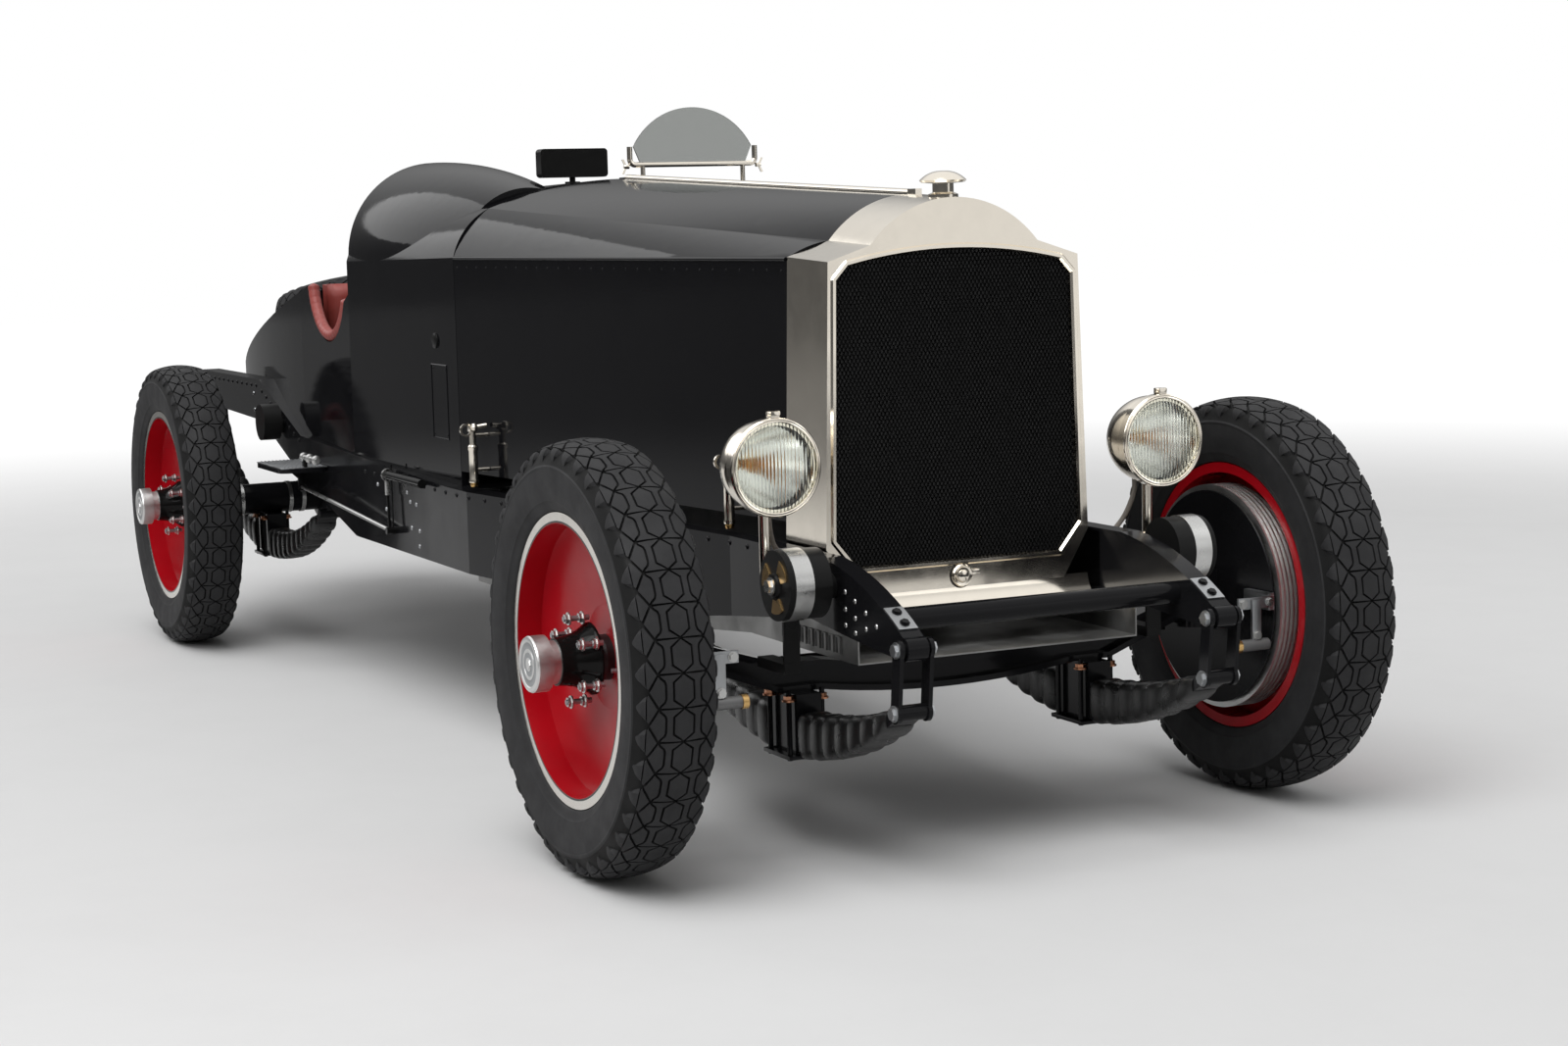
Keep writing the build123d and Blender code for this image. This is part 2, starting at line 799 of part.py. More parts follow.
# Rear axle: banjo housing, tubes, brake plates, half-shafts and torque tube
with BuildPart() as rear_axle:
    tube_reach = wheel_y - plate_face
    with BuildSketch(Plane((rear_x, -tube_reach, tyre_radius), x_dir=(1, 0, 0), z_dir=(0, 1, 0))):
        Circle(axle_tube_radius)
    extrude(amount=2 * tube_reach)
    with BuildSketch(Plane((rear_x, 0, tyre_radius), x_dir=(1, 0, 0), z_dir=(0, 1, 0))):
        Circle(banjo_radius)
    extrude(amount=banjo_width / 2, both=True, taper=18)
    for side in (1, -1):
        face_y = side * tube_reach
        with BuildSketch(Plane((rear_x, face_y, tyre_radius), x_dir=(1, 0, 0), z_dir=(0, -side, 0))):
            Circle(drum_radius - 2)
        extrude(amount=plate_thickness)
        with BuildSketch(Plane((rear_x, face_y, tyre_radius), x_dir=(1, 0, 0), z_dir=(0, side, 0))):
            Circle(spindle_radius)
        extrude(amount=plate_face + spindle_reach)
    for ring_y in (axle_ring_y, axle_ring_y + 2 * axle_ring_width):
        for side in (1, -1):
            ring_plane = Plane((rear_x, side * ring_y, tyre_radius), x_dir=(1, 0, 0), z_dir=(0, side, 0))
            with BuildSketch(ring_plane):
                Circle(axle_tube_radius + axle_ring_rise)
            extrude(amount=axle_ring_width)
    tube_end = (front_x - torque_tube_end_back, 0, torque_tube_front_z)
    tube_run = (tube_end[0] - rear_x, 0, torque_tube_front_z - tyre_radius)
    tube_length = hypot(tube_run[0], tube_run[2])
    with BuildSketch(Plane((rear_x, 0, tyre_radius), z_dir=tube_run)):
        Circle(torque_tube_radius)
    extrude(amount=tube_length)
finish(rear_axle, "rear_axle")


# Engine and gearbox in one plain block
with BuildPart() as engine_block:
    with BuildSketch(Plane.XY.offset(engine_bottom_z)):
        with Locations((front_x - (engine_front_back + engine_rear_back) / 2, 0)):
            Rectangle(engine_rear_back - engine_front_back, 2 * engine_half)
    extrude(amount=engine_top_z - engine_bottom_z)
    gearbox_length = gearbox_rear_back - engine_rear_back
    with BuildSketch(Plane.XY.offset(engine_bottom_z)):
        with Locations((front_x - engine_rear_back - gearbox_length / 2 + 1, 0)):
            Rectangle(gearbox_length + 2, 2 * gearbox_half)
    extrude(amount=gearbox_top_z - engine_bottom_z - 12)
    chamfer(engine_block.edges().filter_by(Axis.X).group_by(Axis.Z)[-1], 40)
finish(engine_block, "engine_block")


# Radiator shell
hinge_gap = rod_hinge_radius + seat_gap


def shell_outline(rise):
    with BuildSketch() as face:
        with BuildLine():
            for side in (1, -1):
                Line((0, shell_bottom_z), (side * shell_bottom_half, shell_bottom_z))
                Line((side * shell_bottom_half, shell_bottom_z), (side * shell_lower_half, shell_lower_z))
                Line((side * shell_lower_half, shell_lower_z), (side * shell_upper_half, shoulder_z + rise))
                Line((side * shell_upper_half, shoulder_z + rise), (side * arch_half, arch_foot_z + rise))
            ThreePointArc(
                (arch_half, arch_foot_z + rise), (0, arch_crown_z + rise), (-arch_half, arch_foot_z + rise)
            )
        make_face()
    return face.sketch


def opening_outline():
    with BuildSketch() as face:
        with BuildLine():
            for side in (1, -1):
                Line((0, opening_bottom_z), (side * opening_bottom_half, opening_bottom_z))
                Polyline(
                    (side * opening_bottom_half, opening_bottom_z),
                    (side * opening_lower_half, opening_chamfer_z),
                    (side * opening_upper_half, opening_corner_z),
                    (side * opening_shoulder_half, opening_shoulder_z),
                )
            ThreePointArc(
                (opening_shoulder_half, opening_shoulder_z), (0, opening_crown_z),
                (-opening_shoulder_half, opening_shoulder_z),
            )
        make_face()
    return face.sketch


shell_back_x = shell_x - shell_depth
neck_x = shell_x - 45
with BuildPart() as radiator_shell:
    with BuildSketch(Plane.YZ.offset(shell_back_x)):
        add(shell_outline(arch_rise_rear))
    with BuildSketch(Plane.YZ.offset(shell_x)):
        add(shell_outline(0))
    loft()
    with BuildSketch(Plane.YZ.offset(shell_back_x)) as cavity_face:
        add(shell_outline(0))
        offset(amount=-shell_sheet, mode=Mode.REPLACE)
    extrude(amount=shell_depth - core_recess + 6, mode=Mode.SUBTRACT)
    with BuildSketch(Plane.YZ.offset(shell_back_x)):
        add(opening_outline())
    extrude(amount=shell_depth, mode=Mode.SUBTRACT)
    # Rolled bead round the opening
    with BuildSketch(Plane.YZ.offset(shell_x)):
        add(opening_outline())
        offset(amount=opening_bead, mode=Mode.REPLACE)
        add(opening_outline(), mode=Mode.SUBTRACT)
    extrude(amount=opening_bead_rise, taper=35)
    # Plain cover of the crank hole
    with BuildSketch(Plane.YZ.offset(shell_x - 1)):
        with Locations((0, hole_cover_z)):
            Circle(hole_cover_radius)
            with Locations((hole_cover_radius, 4)):
                SlotCenterToCenter(12, 9)
    extrude(amount=7)
    with BuildSketch(Plane.YZ.offset(shell_x + 6)):
        with Locations((0, hole_cover_z)):
            Circle(hole_cover_radius - 4)
            SlotCenterToCenter(14, 5, mode=Mode.SUBTRACT)
    extrude(amount=4, taper=30)
    # Mushroom cap
    with BuildSketch(Plane(origin=(neck_x, 0, arch_crown_z), x_dir=(1, 0, 0), z_dir=(0, -1, 0))):
        with BuildLine():
            flange = cap_neck_half + 9
            brim_z = cap_height * 0.64
            Polyline(
                (0, -6), (flange, -6), (flange, 6), (cap_neck_half, 10), (cap_neck_half, brim_z - 6),
                (cap_brim_radius - 4, brim_z - 4), (cap_brim_radius, brim_z),
            )
            ThreePointArc(
                (cap_brim_radius, brim_z), (cap_brim_radius * 0.6, cap_height - 5), (6, cap_height)
            )
            Polyline((6, cap_height), (0, cap_height), (0, -6))
        make_face()
    revolve(axis=Axis((neck_x, 0, 0), (0, 0, 1)))
    # Apron that slopes forward under the shell
    with BuildSketch(Plane.XZ):
        with BuildLine():
            Polyline(
                (shell_x - 1, shell_bottom_z + 12), (shell_x - 1, shell_bottom_z),
                (shell_x - apron_sheet - 8, shell_bottom_z - 14),
            )
            ThreePointArc(
                (shell_x - apron_sheet - 8, shell_bottom_z - 14),
                (shell_x + apron_forward * 0.34, apron_low_z + 14), (shell_x + apron_forward, apron_low_z),
            )
            Line(
                (shell_x + apron_forward, apron_low_z), (shell_x + apron_forward, apron_low_z + apron_sheet)
            )
            ThreePointArc(
                (shell_x + apron_forward, apron_low_z + apron_sheet),
                (shell_x + apron_forward * 0.36, apron_low_z + 17), (shell_x - 1, shell_bottom_z + 12),
            )
        make_face()
    extrude(amount=apron_low_half, both=True)
    with BuildSketch(Plane.YZ.offset(shell_back_x)):
        with Locations((0, arch_crown_z + arch_rise_rear)):
            Rectangle(2 * hinge_gap, 2 * (rod_hinge_radius + hinge_lift))
    extrude(amount=hinge_boss_length)
finish(radiator_shell, "radiator_shell")

with BuildPart() as radiator_core:
    core_front = shell_x - core_recess + 6 - seat_gap
    with BuildSketch(Plane.YZ.offset(core_front - core_depth)):
        add(shell_outline(0))
        offset(amount=-shell_sheet - seat_gap, mode=Mode.REPLACE)
    extrude(amount=core_depth)
finish(radiator_core, "radiator_core")


# Hood
def hood_half_face(side, half, foot_z, arch_end, arch_z, crown_z, thickness, gap):
    """One half of the hood's section, as a closed strip of sheet."""
    outer_mid = crown_z - (crown_z - arch_z) * 0.26
    with BuildSketch() as face:
        with BuildLine():
            ThreePointArc(
                (side * gap, crown_z), (side * arch_end * 0.5, outer_mid), (side * arch_end, arch_z)
            )
            bend = (side * (arch_end + (half - arch_end) * 0.66), arch_z - (arch_z - foot_z) * 0.5)
            ThreePointArc((side * arch_end, arch_z), bend, (side * half, foot_z))
            Line((side * half, foot_z), (side * (half - thickness), foot_z))
            inner_bend = (bend[0] - side * thickness * 0.7, bend[1] - thickness * 0.7)
            ThreePointArc(
                (side * (half - thickness), foot_z), inner_bend,
                (side * (arch_end - thickness * 0.3), arch_z - thickness),
            )
            ThreePointArc(
                (side * (arch_end - thickness * 0.3), arch_z - thickness),
                (side * arch_end * 0.5, outer_mid - thickness), (side * gap, crown_z - thickness),
            )
            Line((side * gap, crown_z - thickness), (side * gap, crown_z))
        make_face()
    return face.sketch


hood_rear_x = cowl_x + panel_gap


def hinge_bead(side, radius, trim):
    """Rolled hinge along the foot of the hood's top panel, shortened by trim at each end."""
    front = Vector(hood_x, side * shell_upper_half, hinge_z - panel_gap / 2)
    rear = Vector(hood_rear_x, side * hood_rear_half, hinge_z - panel_gap / 2)
    run = (front - rear).normalized()
    with BuildPart() as bead:
        with BuildSketch(Plane(origin=rear + run * trim, z_dir=run)):
            Circle(radius)
        extrude(amount=(front - rear).length - 2 * trim)
    return bead.part


for side, hand in ((1, "left"), (-1, "right")):
    with BuildPart() as hood_top:
        with BuildSketch(Plane.YZ.offset(hood_rear_x)):
            add(hood_half_face(
                side, hood_rear_half, hinge_z, hood_rear_arch_half, hood_rear_arch_z, hood_rear_crown_z,
                panel_sheet, hinge_gap,
            ))
        with BuildSketch(Plane.YZ.offset(hood_x)):
            add(hood_half_face(
                side, shell_upper_half, hinge_z, arch_half, arch_foot_z + arch_rise_rear,
                arch_crown_z + arch_rise_rear, panel_sheet, hinge_gap,
            ))
        loft(ruled=True)
        add(hinge_bead(side, hinge_bead_radius + seat_gap, 0), mode=Mode.SUBTRACT)
    finish(hood_top, f"hood_top_{hand}")
    with BuildPart() as hood_side:
        add(hinge_bead(side, hinge_bead_radius, panel_gap))
        with BuildSketch(Plane.XY.offset(hood_side_bottom_z)):
            with BuildLine():
                Polyline(
                    (hood_x, side * shell_upper_half), (hood_rear_x, side * hood_rear_half),
                    (hood_rear_x, side * (hood_rear_half - panel_sheet)),
                    (hood_x, side * (shell_upper_half - panel_sheet)), close=True,
                )
            make_face()
        extrude(amount=hinge_z - panel_gap - hood_side_bottom_z)
    finish(hood_side, f"hood_side_{hand}")


def cowl_surface_z(x, y):
    """Height of the cowl's arched top at x and y, behind the hood."""
    share = (cowl_x - x) / (cowl_x - cockpit_x)
    crown = hood_rear_crown_z + (cowl_rear_crown_z - hood_rear_crown_z) * share
    arch = hood_rear_arch_half + (cowl_rear_arch_half - hood_rear_arch_half) * share
    drop = crown - (hood_rear_arch_z + (cowl_rear_arch_z - hood_rear_arch_z) * share)
    radius = (arch ** 2 + drop ** 2) / (2 * drop)
    return crown - radius + sqrt(radius ** 2 - y ** 2)


# Cowl
def body_section(half, foot_z, shoulder_z, arch_end, arch_z, crown_z, inset):
    """Closed cowl section, from the body's foot over the crown and back."""
    half = half - inset
    arch_end = arch_end - inset * 0.4
    arch_z = arch_z - inset * 0.9
    crown_z = crown_z - inset
    with BuildSketch() as face:
        with BuildLine():
            Line((-half, foot_z), (half, foot_z))
            for side in (1, -1):
                Line((side * half, foot_z), (side * half, shoulder_z))
                bend = (
                    side * (arch_end + (half - arch_end) * 0.68), arch_z - (arch_z - shoulder_z) * 0.45
                )
                ThreePointArc((side * half, shoulder_z), bend, (side * arch_end, arch_z))
            ThreePointArc((arch_end, arch_z), (0, crown_z), (-arch_end, arch_z))
        make_face()
    return face.sketch


def foot_z(x):
    """Height of the frame's top under the body at x, with the seat's gap."""
    return rail_top + rail_rise * (cowl_x - x) / (cowl_x - kick_start_x) + seat_gap


def cowl_front_section(inset):
    return body_section(
        hood_rear_half, foot_z(cowl_x), hinge_z, hood_rear_arch_half, hood_rear_arch_z,
        hood_rear_crown_z, inset,
    )


def cowl_rear_section(inset):
    return body_section(
        body_half, foot_z(cockpit_x), cowl_rear_shoulder_z, cowl_rear_arch_half, cowl_rear_arch_z,
        cowl_rear_crown_z, inset,
    )


def arch_face(y, half, base_z, crown_z):
    """A round-topped section that stands on a level base."""
    foot_z = crown_z - half
    with BuildSketch() as face:
        with BuildLine():
            Polyline((y - half, foot_z), (y - half, base_z), (y + half, base_z), (y + half, foot_z))
            ThreePointArc((y + half, foot_z), (y, crown_z), (y - half, foot_z))
        make_face()
    return face.sketch


hump_stations = (
    (front_x - hump_start_back, hump_half * 0.72, 1331),
    (front_x - hump_mid_back, hump_half * 0.93, hump_mid_crown_z),
    (cockpit_x, hump_half, hump_crown_z),
)
hump_floor_z = 1080
with BuildPart() as hump_room:
    for x, half, crown in hump_stations:
        with BuildSketch(Plane.YZ.offset(x)):
            add(arch_face(hump_y, half - body_wall, hump_floor_z - 200, crown - body_wall))
    loft()

with BuildPart() as cowl_room:
    with BuildSketch(Plane.YZ.offset(cockpit_x)):
        add(cowl_rear_section(body_wall))
    with BuildSketch(Plane.YZ.offset(cowl_x)):
        add(cowl_front_section(body_wall))
    loft(ruled=True)

with BuildPart() as hump:
    for x, half, crown in hump_stations:
        with BuildSketch(Plane.YZ.offset(x)):
            add(arch_face(hump_y, half, hump_floor_z, crown))
    loft()

with BuildPart() as cowl_form:
    with BuildSketch(Plane.YZ.offset(cockpit_x)):
        add(cowl_rear_section(0))
    with BuildSketch(Plane.YZ.offset(cowl_x)):
        add(cowl_front_section(0))
    loft(ruled=True)
    add(hump.part)

# Dash panel and bulkhead fill the cowl's own section
dash_x = front_x - driver_cut_back
with BuildPart() as dash_panel:
    add(cowl_form.part)
    with BuildSketch(Plane.XY.offset(dash_low_z)):
        with Locations((dash_x - dash_thickness / 2, 0)):
            Rectangle(dash_thickness, 3 * body_half)
    extrude(amount=600, mode=Mode.INTERSECT)

with BuildPart() as bulkhead:
    add(cowl_form.part)
    with BuildSketch(Plane.XY):
        with Locations((cowl_x - bulkhead_thickness / 2, 0)):
            Rectangle(bulkhead_thickness, 3 * body_half)
    extrude(amount=2000, mode=Mode.INTERSECT)

column_run = Vector(cos(radians(column_rake)), 0, -sin(radians(column_rake)))
wheel_centre = Vector(front_x - steering_wheel_back, steering_y, steering_wheel_z)
column_plane = Plane(origin=wheel_centre, x_dir=(0, 1, 0), z_dir=column_run)

with BuildPart() as cowl:
    add(cowl_form.part)
    add(cowl_room.part, mode=Mode.SUBTRACT)
    add(hump_room.part, mode=Mode.SUBTRACT)
    add(dash_panel.part)
    add(bulkhead.part)
    with BuildSketch(Plane.XY.offset(driver_cut_z)):
        with Locations(((dash_x - dash_thickness + cockpit_x) / 2 - 5, driver_cut_y)):
            Rectangle(dash_x - dash_thickness - cockpit_x + 10, driver_cut_width)
    extrude(amount=600, mode=Mode.SUBTRACT)
    with BuildSketch(column_plane):
        Circle(column_radius + pin_gap)
    extrude(amount=column_length, mode=Mode.SUBTRACT)
    with BuildSketch(Plane.YZ.offset(cowl_x)):
        with Locations((0, hood_rear_crown_z - body_wall / 2)):
            Rectangle(2 * hinge_gap, body_wall + 2 * hinge_lift, align=(Align.CENTER, Align.CENTER))
    extrude(amount=-hinge_boss_length)
finish(cowl, "cowl")


# Cockpit tub: sides with elbow cut-outs, floor and seat riser
def half_width(x):
    """Half-width of the body at x, from the cowl to the front of the tail."""
    if x > cockpit_x:
        return hood_rear_half + (body_half - hood_rear_half) * (cowl_x - x) / (cowl_x - cockpit_x)
    return body_half + (tail_front_half - body_half) * (cockpit_x - x) / (cockpit_x - tail_x)


side_start_x = front_x - side_front_back
side_low_x = front_x - side_low_back
side_end_x = front_x - side_rear_back
floor_front_x = cowl_x - bulkhead_thickness - seat_gap
riser_top_z = cushion_top_z - cushion_thickness
with BuildPart() as body_tub:
    with BuildSketch(Plane.XZ):
        with BuildLine():
            Line((cockpit_x, foot_z(cockpit_x)), (cockpit_x, side_front_z + 20))
            Line((cockpit_x, side_front_z + 20), (side_start_x, side_front_z))
            ThreePointArc(
                (side_start_x, side_front_z), (side_low_x, side_low_z), (side_end_x, side_rear_z)
            )
            Line((side_end_x, side_rear_z), (tail_x, deck_front_z))
            Line((tail_x, deck_front_z), (tail_x, foot_z(tail_x)))
            Line((tail_x, foot_z(tail_x)), (cockpit_x, foot_z(cockpit_x)))
        make_face()
    extrude(amount=-2 * body_half)
    with BuildSketch(Plane.XY):
        with BuildLine():
            Polyline(
                (cockpit_x, body_half), (tail_x, tail_front_half), (tail_x, tail_front_half - body_wall),
                (cockpit_x, body_half - body_wall), close=True,
            )
        make_face()
    extrude(amount=2000, mode=Mode.INTERSECT)
    mirror(about=Plane.XZ)
    inner = body_wall + seat_gap
    with BuildSketch(Plane.XZ):
        with BuildLine():
            Polyline(
                (floor_front_x, foot_z(floor_front_x)), (tail_x, foot_z(tail_x)),
                (tail_x, foot_z(tail_x) + floor_thickness),
                (floor_front_x, foot_z(floor_front_x) + floor_thickness), close=True,
            )
        make_face()
        with BuildLine():
            riser_front_x = front_x - cushion_front_back - 20
            Polyline(
                (riser_front_x, foot_z(riser_front_x) + 1), (tail_x, foot_z(tail_x) + 1),
                (tail_x, riser_top_z), (riser_front_x, riser_top_z), close=True,
            )
        make_face()
    extrude(amount=half_width(cowl_x) - inner, both=True)
    with BuildSketch(Plane.XZ):
        with BuildLine():
            Polyline(
                (cockpit_x - 1, foot_z(cockpit_x)), (tail_x, foot_z(tail_x)),
                (tail_x, foot_z(tail_x) + floor_thickness),
                (cockpit_x - 1, foot_z(cockpit_x) + floor_thickness), close=True,
            )
        make_face()
    extrude(amount=tail_front_half - 2, both=True)
finish(body_tub, "body_tub")


# Leather rolls along the elbow cut-outs
with BuildPart() as cockpit_roll:
    edge = ThreePointArc(
        (side_start_x, side_front_z), (side_low_x, side_low_z), (side_end_x, side_rear_z)
    )
    centre = edge.arc_center
    roll_arc_radius = edge.radius - roll_radius - seat_gap
    start = (Vector(side_start_x, side_front_z) - centre).normalized() * roll_arc_radius + centre
    low = (Vector(side_low_x, side_low_z) - centre).normalized() * roll_arc_radius + centre
    end = (Vector(side_end_x, side_rear_z) - centre).normalized() * roll_arc_radius + centre
    roll_y = half_width(side_low_x) - body_wall / 2
    with BuildLine(Plane.XZ.offset(-roll_y)) as path:
        ThreePointArc((start.X, start.Y), (low.X, low.Y), (end.X, end.Y))
    with BuildSketch(Plane(origin=path.line @ 0, z_dir=path.line % 0)):
        Circle(roll_radius)
    sweep(path=path.line)
    mirror(about=Plane.XZ)
finish(cockpit_roll, "cockpit_roll")


# Tail with a sloping deck and a round well for the spare wheel
well_x = front_x - well_back
deck_slope = (deck_front_z - deck_rear_z) / (tail_x - tail_end_x)


def deck_z(x):
    return deck_front_z - deck_slope * (tail_x - x)


deck_pitch = atan(deck_slope)
well_plane = Plane(
    origin=(well_x, 0, deck_z(well_x)), x_dir=(cos(deck_pitch), 0, sin(deck_pitch)),
    z_dir=(-sin(deck_pitch), 0, cos(deck_pitch)),
)
# The body sits on the rails where it is wider than the space between them
rail_inner_rear = rail_outer_rear - rail_flange_rear
with BuildPart() as rail_room:
    with BuildSketch(Plane.XZ.offset(-rail_inner_rear + seat_gap)):
        with BuildLine():
            over = seat_gap
            Polyline(
                (tail_x + 50, 0), (tail_x + 50, foot_z(tail_x)), (tail_x, foot_z(tail_x)),
                (kick_start_x, rail_top + rail_rise + over), (kick_end_x, rail_kick_top + over),
                (rail_end_x - 6, rail_kick_top + over), (rail_end_x - 6, 0), close=True,
            )
        make_face()
    extrude(amount=-body_half)
    mirror(about=Plane.XZ)

with BuildPart() as tail_deck:
    tail_front_x = tail_x - seat_gap
    mid_x = front_x - tail_mid_back
    with BuildSketch(Plane.XY.offset(tail_low_z - 100)):
        with BuildLine():
            for side in (1, -1):
                ThreePointArc(
                    (tail_front_x, side * tail_front_half), (mid_x, side * tail_mid_half),
                    (tail_end_x + tail_end_radius, side * tail_end_half),
                )
                ThreePointArc(
                    (tail_end_x + tail_end_radius, side * tail_end_half),
                    (tail_end_x + tail_end_radius * 0.3, side * (tail_end_half - tail_end_radius * 0.45)),
                    (tail_end_x, side * (tail_end_half - tail_end_radius * 1.2)),
                )
            Line(
                (tail_end_x, tail_end_half - tail_end_radius * 1.2),
                (tail_end_x, -tail_end_half + tail_end_radius * 1.2),
            )
            Line((tail_front_x, tail_front_half), (tail_front_x, -tail_front_half))
        make_face()
    extrude(amount=1000)
    with BuildSketch(Plane.XZ):
        with BuildLine():
            Polyline(
                (tail_front_x, foot_z(tail_front_x)), (tail_front_x, deck_z(tail_front_x)),
                (tail_end_x - 1, deck_z(tail_end_x)), (tail_end_x - 1, tail_low_z + 30),
                (rail_end_x - 90, tail_low_z), (rail_end_x - 10, tail_floor_z), (kick_end_x, tail_floor_z),
                (kick_start_x - 60, foot_z(tail_front_x)), close=True,
            )
        make_face()
    extrude(amount=2 * body_half, both=True, mode=Mode.INTERSECT)
    add(rail_room.part, mode=Mode.SUBTRACT)
    with BuildSketch(well_plane):
        Circle(well_radius)
    extrude(amount=-well_depth, mode=Mode.SUBTRACT)
    with BuildSketch(well_plane):
        Circle(well_radius)
    extrude(amount=300, mode=Mode.SUBTRACT)
finish(tail_deck, "tail_deck")


# Spare wheel in the well, dished side up
spare_plane = Plane(
    origin=well_plane.origin + well_plane.z_dir * (tyre_width / 2 + 3 * seat_gap - well_depth),
    x_dir=well_plane.z_dir, z_dir=(0, 1, 0),
)
spare_axis = Axis(spare_plane.origin, well_plane.z_dir)
build_tyre("spare_tyre", spare_plane, spare_axis)
build_disc("spare_disc", spare_plane, spare_axis)


# Seat cushion and backrest
with BuildPart() as seat_cushion:
    cushion_length = cushion_rear_back - cushion_front_back
    with BuildSketch(Plane.XY.offset(riser_top_z + soft_gap)):
        with Locations((front_x - (cushion_front_back + cushion_rear_back) / 2, 0)):
            RectangleRounded(cushion_length - 2 * soft_gap, 2 * seat_half, 30)
    extrude(amount=cushion_thickness - soft_gap)
    fillet(seat_cushion.faces().sort_by(Axis.Z)[-1].edges(), 24)
finish(seat_cushion, "seat_cushion")

with BuildPart() as seat_back:
    with BuildSketch(Plane.XY.offset(riser_top_z + soft_gap)):
        with Locations((tail_x + soft_gap + backrest_thickness / 2, 0)):
            RectangleRounded(backrest_thickness, 2 * seat_half, 30)
    extrude(amount=backrest_top_z - riser_top_z)
    fillet(seat_back.faces().sort_by(Axis.Z)[-1].edges(), 24)
finish(seat_back, "seat_back")


# Steering column with its box on the frame
with BuildPart() as steering_column:
    with BuildSketch(column_plane.offset(steering_boss_half + seat_gap)):
        Circle(column_radius)
    extrude(amount=column_length - steering_boss_half - seat_gap)
    box_centre = wheel_centre + column_run * column_length
    with BuildSketch(Plane.XY.offset(box_centre.Z - 100)):
        with Locations((box_centre.X, steering_y)):
            Circle(36)
    extrude(amount=140)
    box_bracket_end = rail_plan_outer(box_centre.X + 40) - rail_web - seat_gap
    with BuildSketch(Plane.XZ.offset(-steering_y)):
        with Locations((box_centre.X, box_centre.Z - 65)):
            Rectangle(60, 60)
    extrude(amount=steering_y - box_bracket_end)
finish(steering_column, "steering_column")

with BuildPart() as steering_wheel:
    with BuildSketch(Plane(origin=wheel_centre, x_dir=column_run, z_dir=(0, 1, 0))):
        with Locations((0, steering_wheel_radius)):
            Circle(steering_rim_radius)
    revolve(axis=Axis(wheel_centre, column_run))
    with BuildSketch(column_plane.offset(-steering_boss_half)):
        Circle(steering_boss_radius)
    extrude(amount=2 * steering_boss_half)
    for spoke in range(4):
        turn = 45 + 90 * spoke
        spoke_dir = column_plane.x_dir.rotate(Axis((0, 0, 0), column_plane.z_dir), turn)
        with BuildSketch(Plane(origin=wheel_centre, x_dir=column_run, z_dir=spoke_dir)):
            Ellipse(6, 11)
        extrude(amount=steering_wheel_radius)
finish(steering_wheel, "steering_wheel")


# Driver's windscreen
screen_x = front_x - screen_back
with BuildPart() as windscreen_glass:
    with BuildSketch(Plane.YZ.offset(screen_x - screen_glass / 2)):
        with BuildLine():
            low_half = screen_half * 0.9
            wide_z = screen_low_z + (screen_top_z - screen_low_z) * 0.28
            Line((screen_y - low_half, screen_low_z), (screen_y + low_half, screen_low_z))
            for side in (1, -1):
                Line((screen_y + side * low_half, screen_low_z), (screen_y + side * screen_half, wide_z))
            ThreePointArc(
                (screen_y + screen_half, wide_z), (screen_y, screen_top_z), (screen_y - screen_half, wide_z)
            )
        make_face()
    extrude(amount=screen_glass)
finish(windscreen_glass, "windscreen_glass")

with BuildPart() as windscreen_frame:
    bar_z = screen_low_z - frame_tube_radius - seat_gap
    bar_half = screen_half + frame_tube_radius + 3
    with BuildLine(Plane.YZ.offset(screen_x)) as bar:
        FilletPolyline(
            (screen_y - bar_half, wide_z), (screen_y - bar_half, bar_z), (screen_y + bar_half, bar_z),
            (screen_y + bar_half, wide_z), radius=14,
        )
    with BuildSketch(Plane(origin=bar.line @ 0, z_dir=bar.line % 0)):
        Circle(frame_tube_radius)
    sweep(path=bar.line)
    for side in (1, -1):
        y = screen_y + side * screen_post_y
        slope = (cowl_surface_z(screen_x, y - 5) - cowl_surface_z(screen_x, y + 5)) / 10
        foot = Vector(screen_x, y, cowl_surface_z(screen_x, y))
        normal = Vector(0, slope, 1).normalized()
        with BuildSketch(Plane(origin=foot + normal * screen_foot_gap, z_dir=normal)):
            Circle(2 * frame_tube_radius)
        extrude(amount=frame_tube_radius)
        with BuildSketch(Plane.XY.offset(foot.Z + 4)):
            with Locations((screen_x, y)):
                Circle(frame_tube_radius - 1)
        extrude(amount=bar_z - foot.Z - 4)
finish(windscreen_frame, "windscreen_frame")


# Rear-view mirror on its stalk
mirror_x = front_x - mirror_back
with BuildPart() as mirror_box:
    with BuildSketch(Plane.YZ.offset(mirror_x - mirror_depth / 2)):
        with Locations((mirror_y, mirror_z)):
            RectangleRounded(mirror_width, mirror_height, 10)
    extrude(amount=mirror_depth)
    foot = cowl_surface_z(mirror_x + mirror_foot_radius, 0) + seat_gap
    with BuildSketch(Plane.XY.offset(foot)):
        with Locations((mirror_x, mirror_y)):
            Circle(8)
    extrude(amount=mirror_z - foot)
    with BuildSketch(Plane.XY.offset(foot)):
        with Locations((mirror_x, mirror_y)):
            Circle(mirror_foot_radius)
    extrude(amount=8)
finish(mirror_box, "mirror")


# Hood hinge rod, from the radiator shell's boss to the cowl's boss
with BuildPart() as hood_rod:
    rod_front = Vector(shell_back_x - seat_gap, 0, arch_crown_z + arch_rise_rear + hinge_lift)
    rod_rear = Vector(cowl_x + seat_gap, 0, hood_rear_crown_z + hinge_lift)
    with BuildSketch(Plane(origin=rod_rear, z_dir=rod_front - rod_rear)):
        Circle(rod_hinge_radius)
    extrude(amount=(rod_front - rod_rear).length)
finish(hood_rod, "hood_rod")


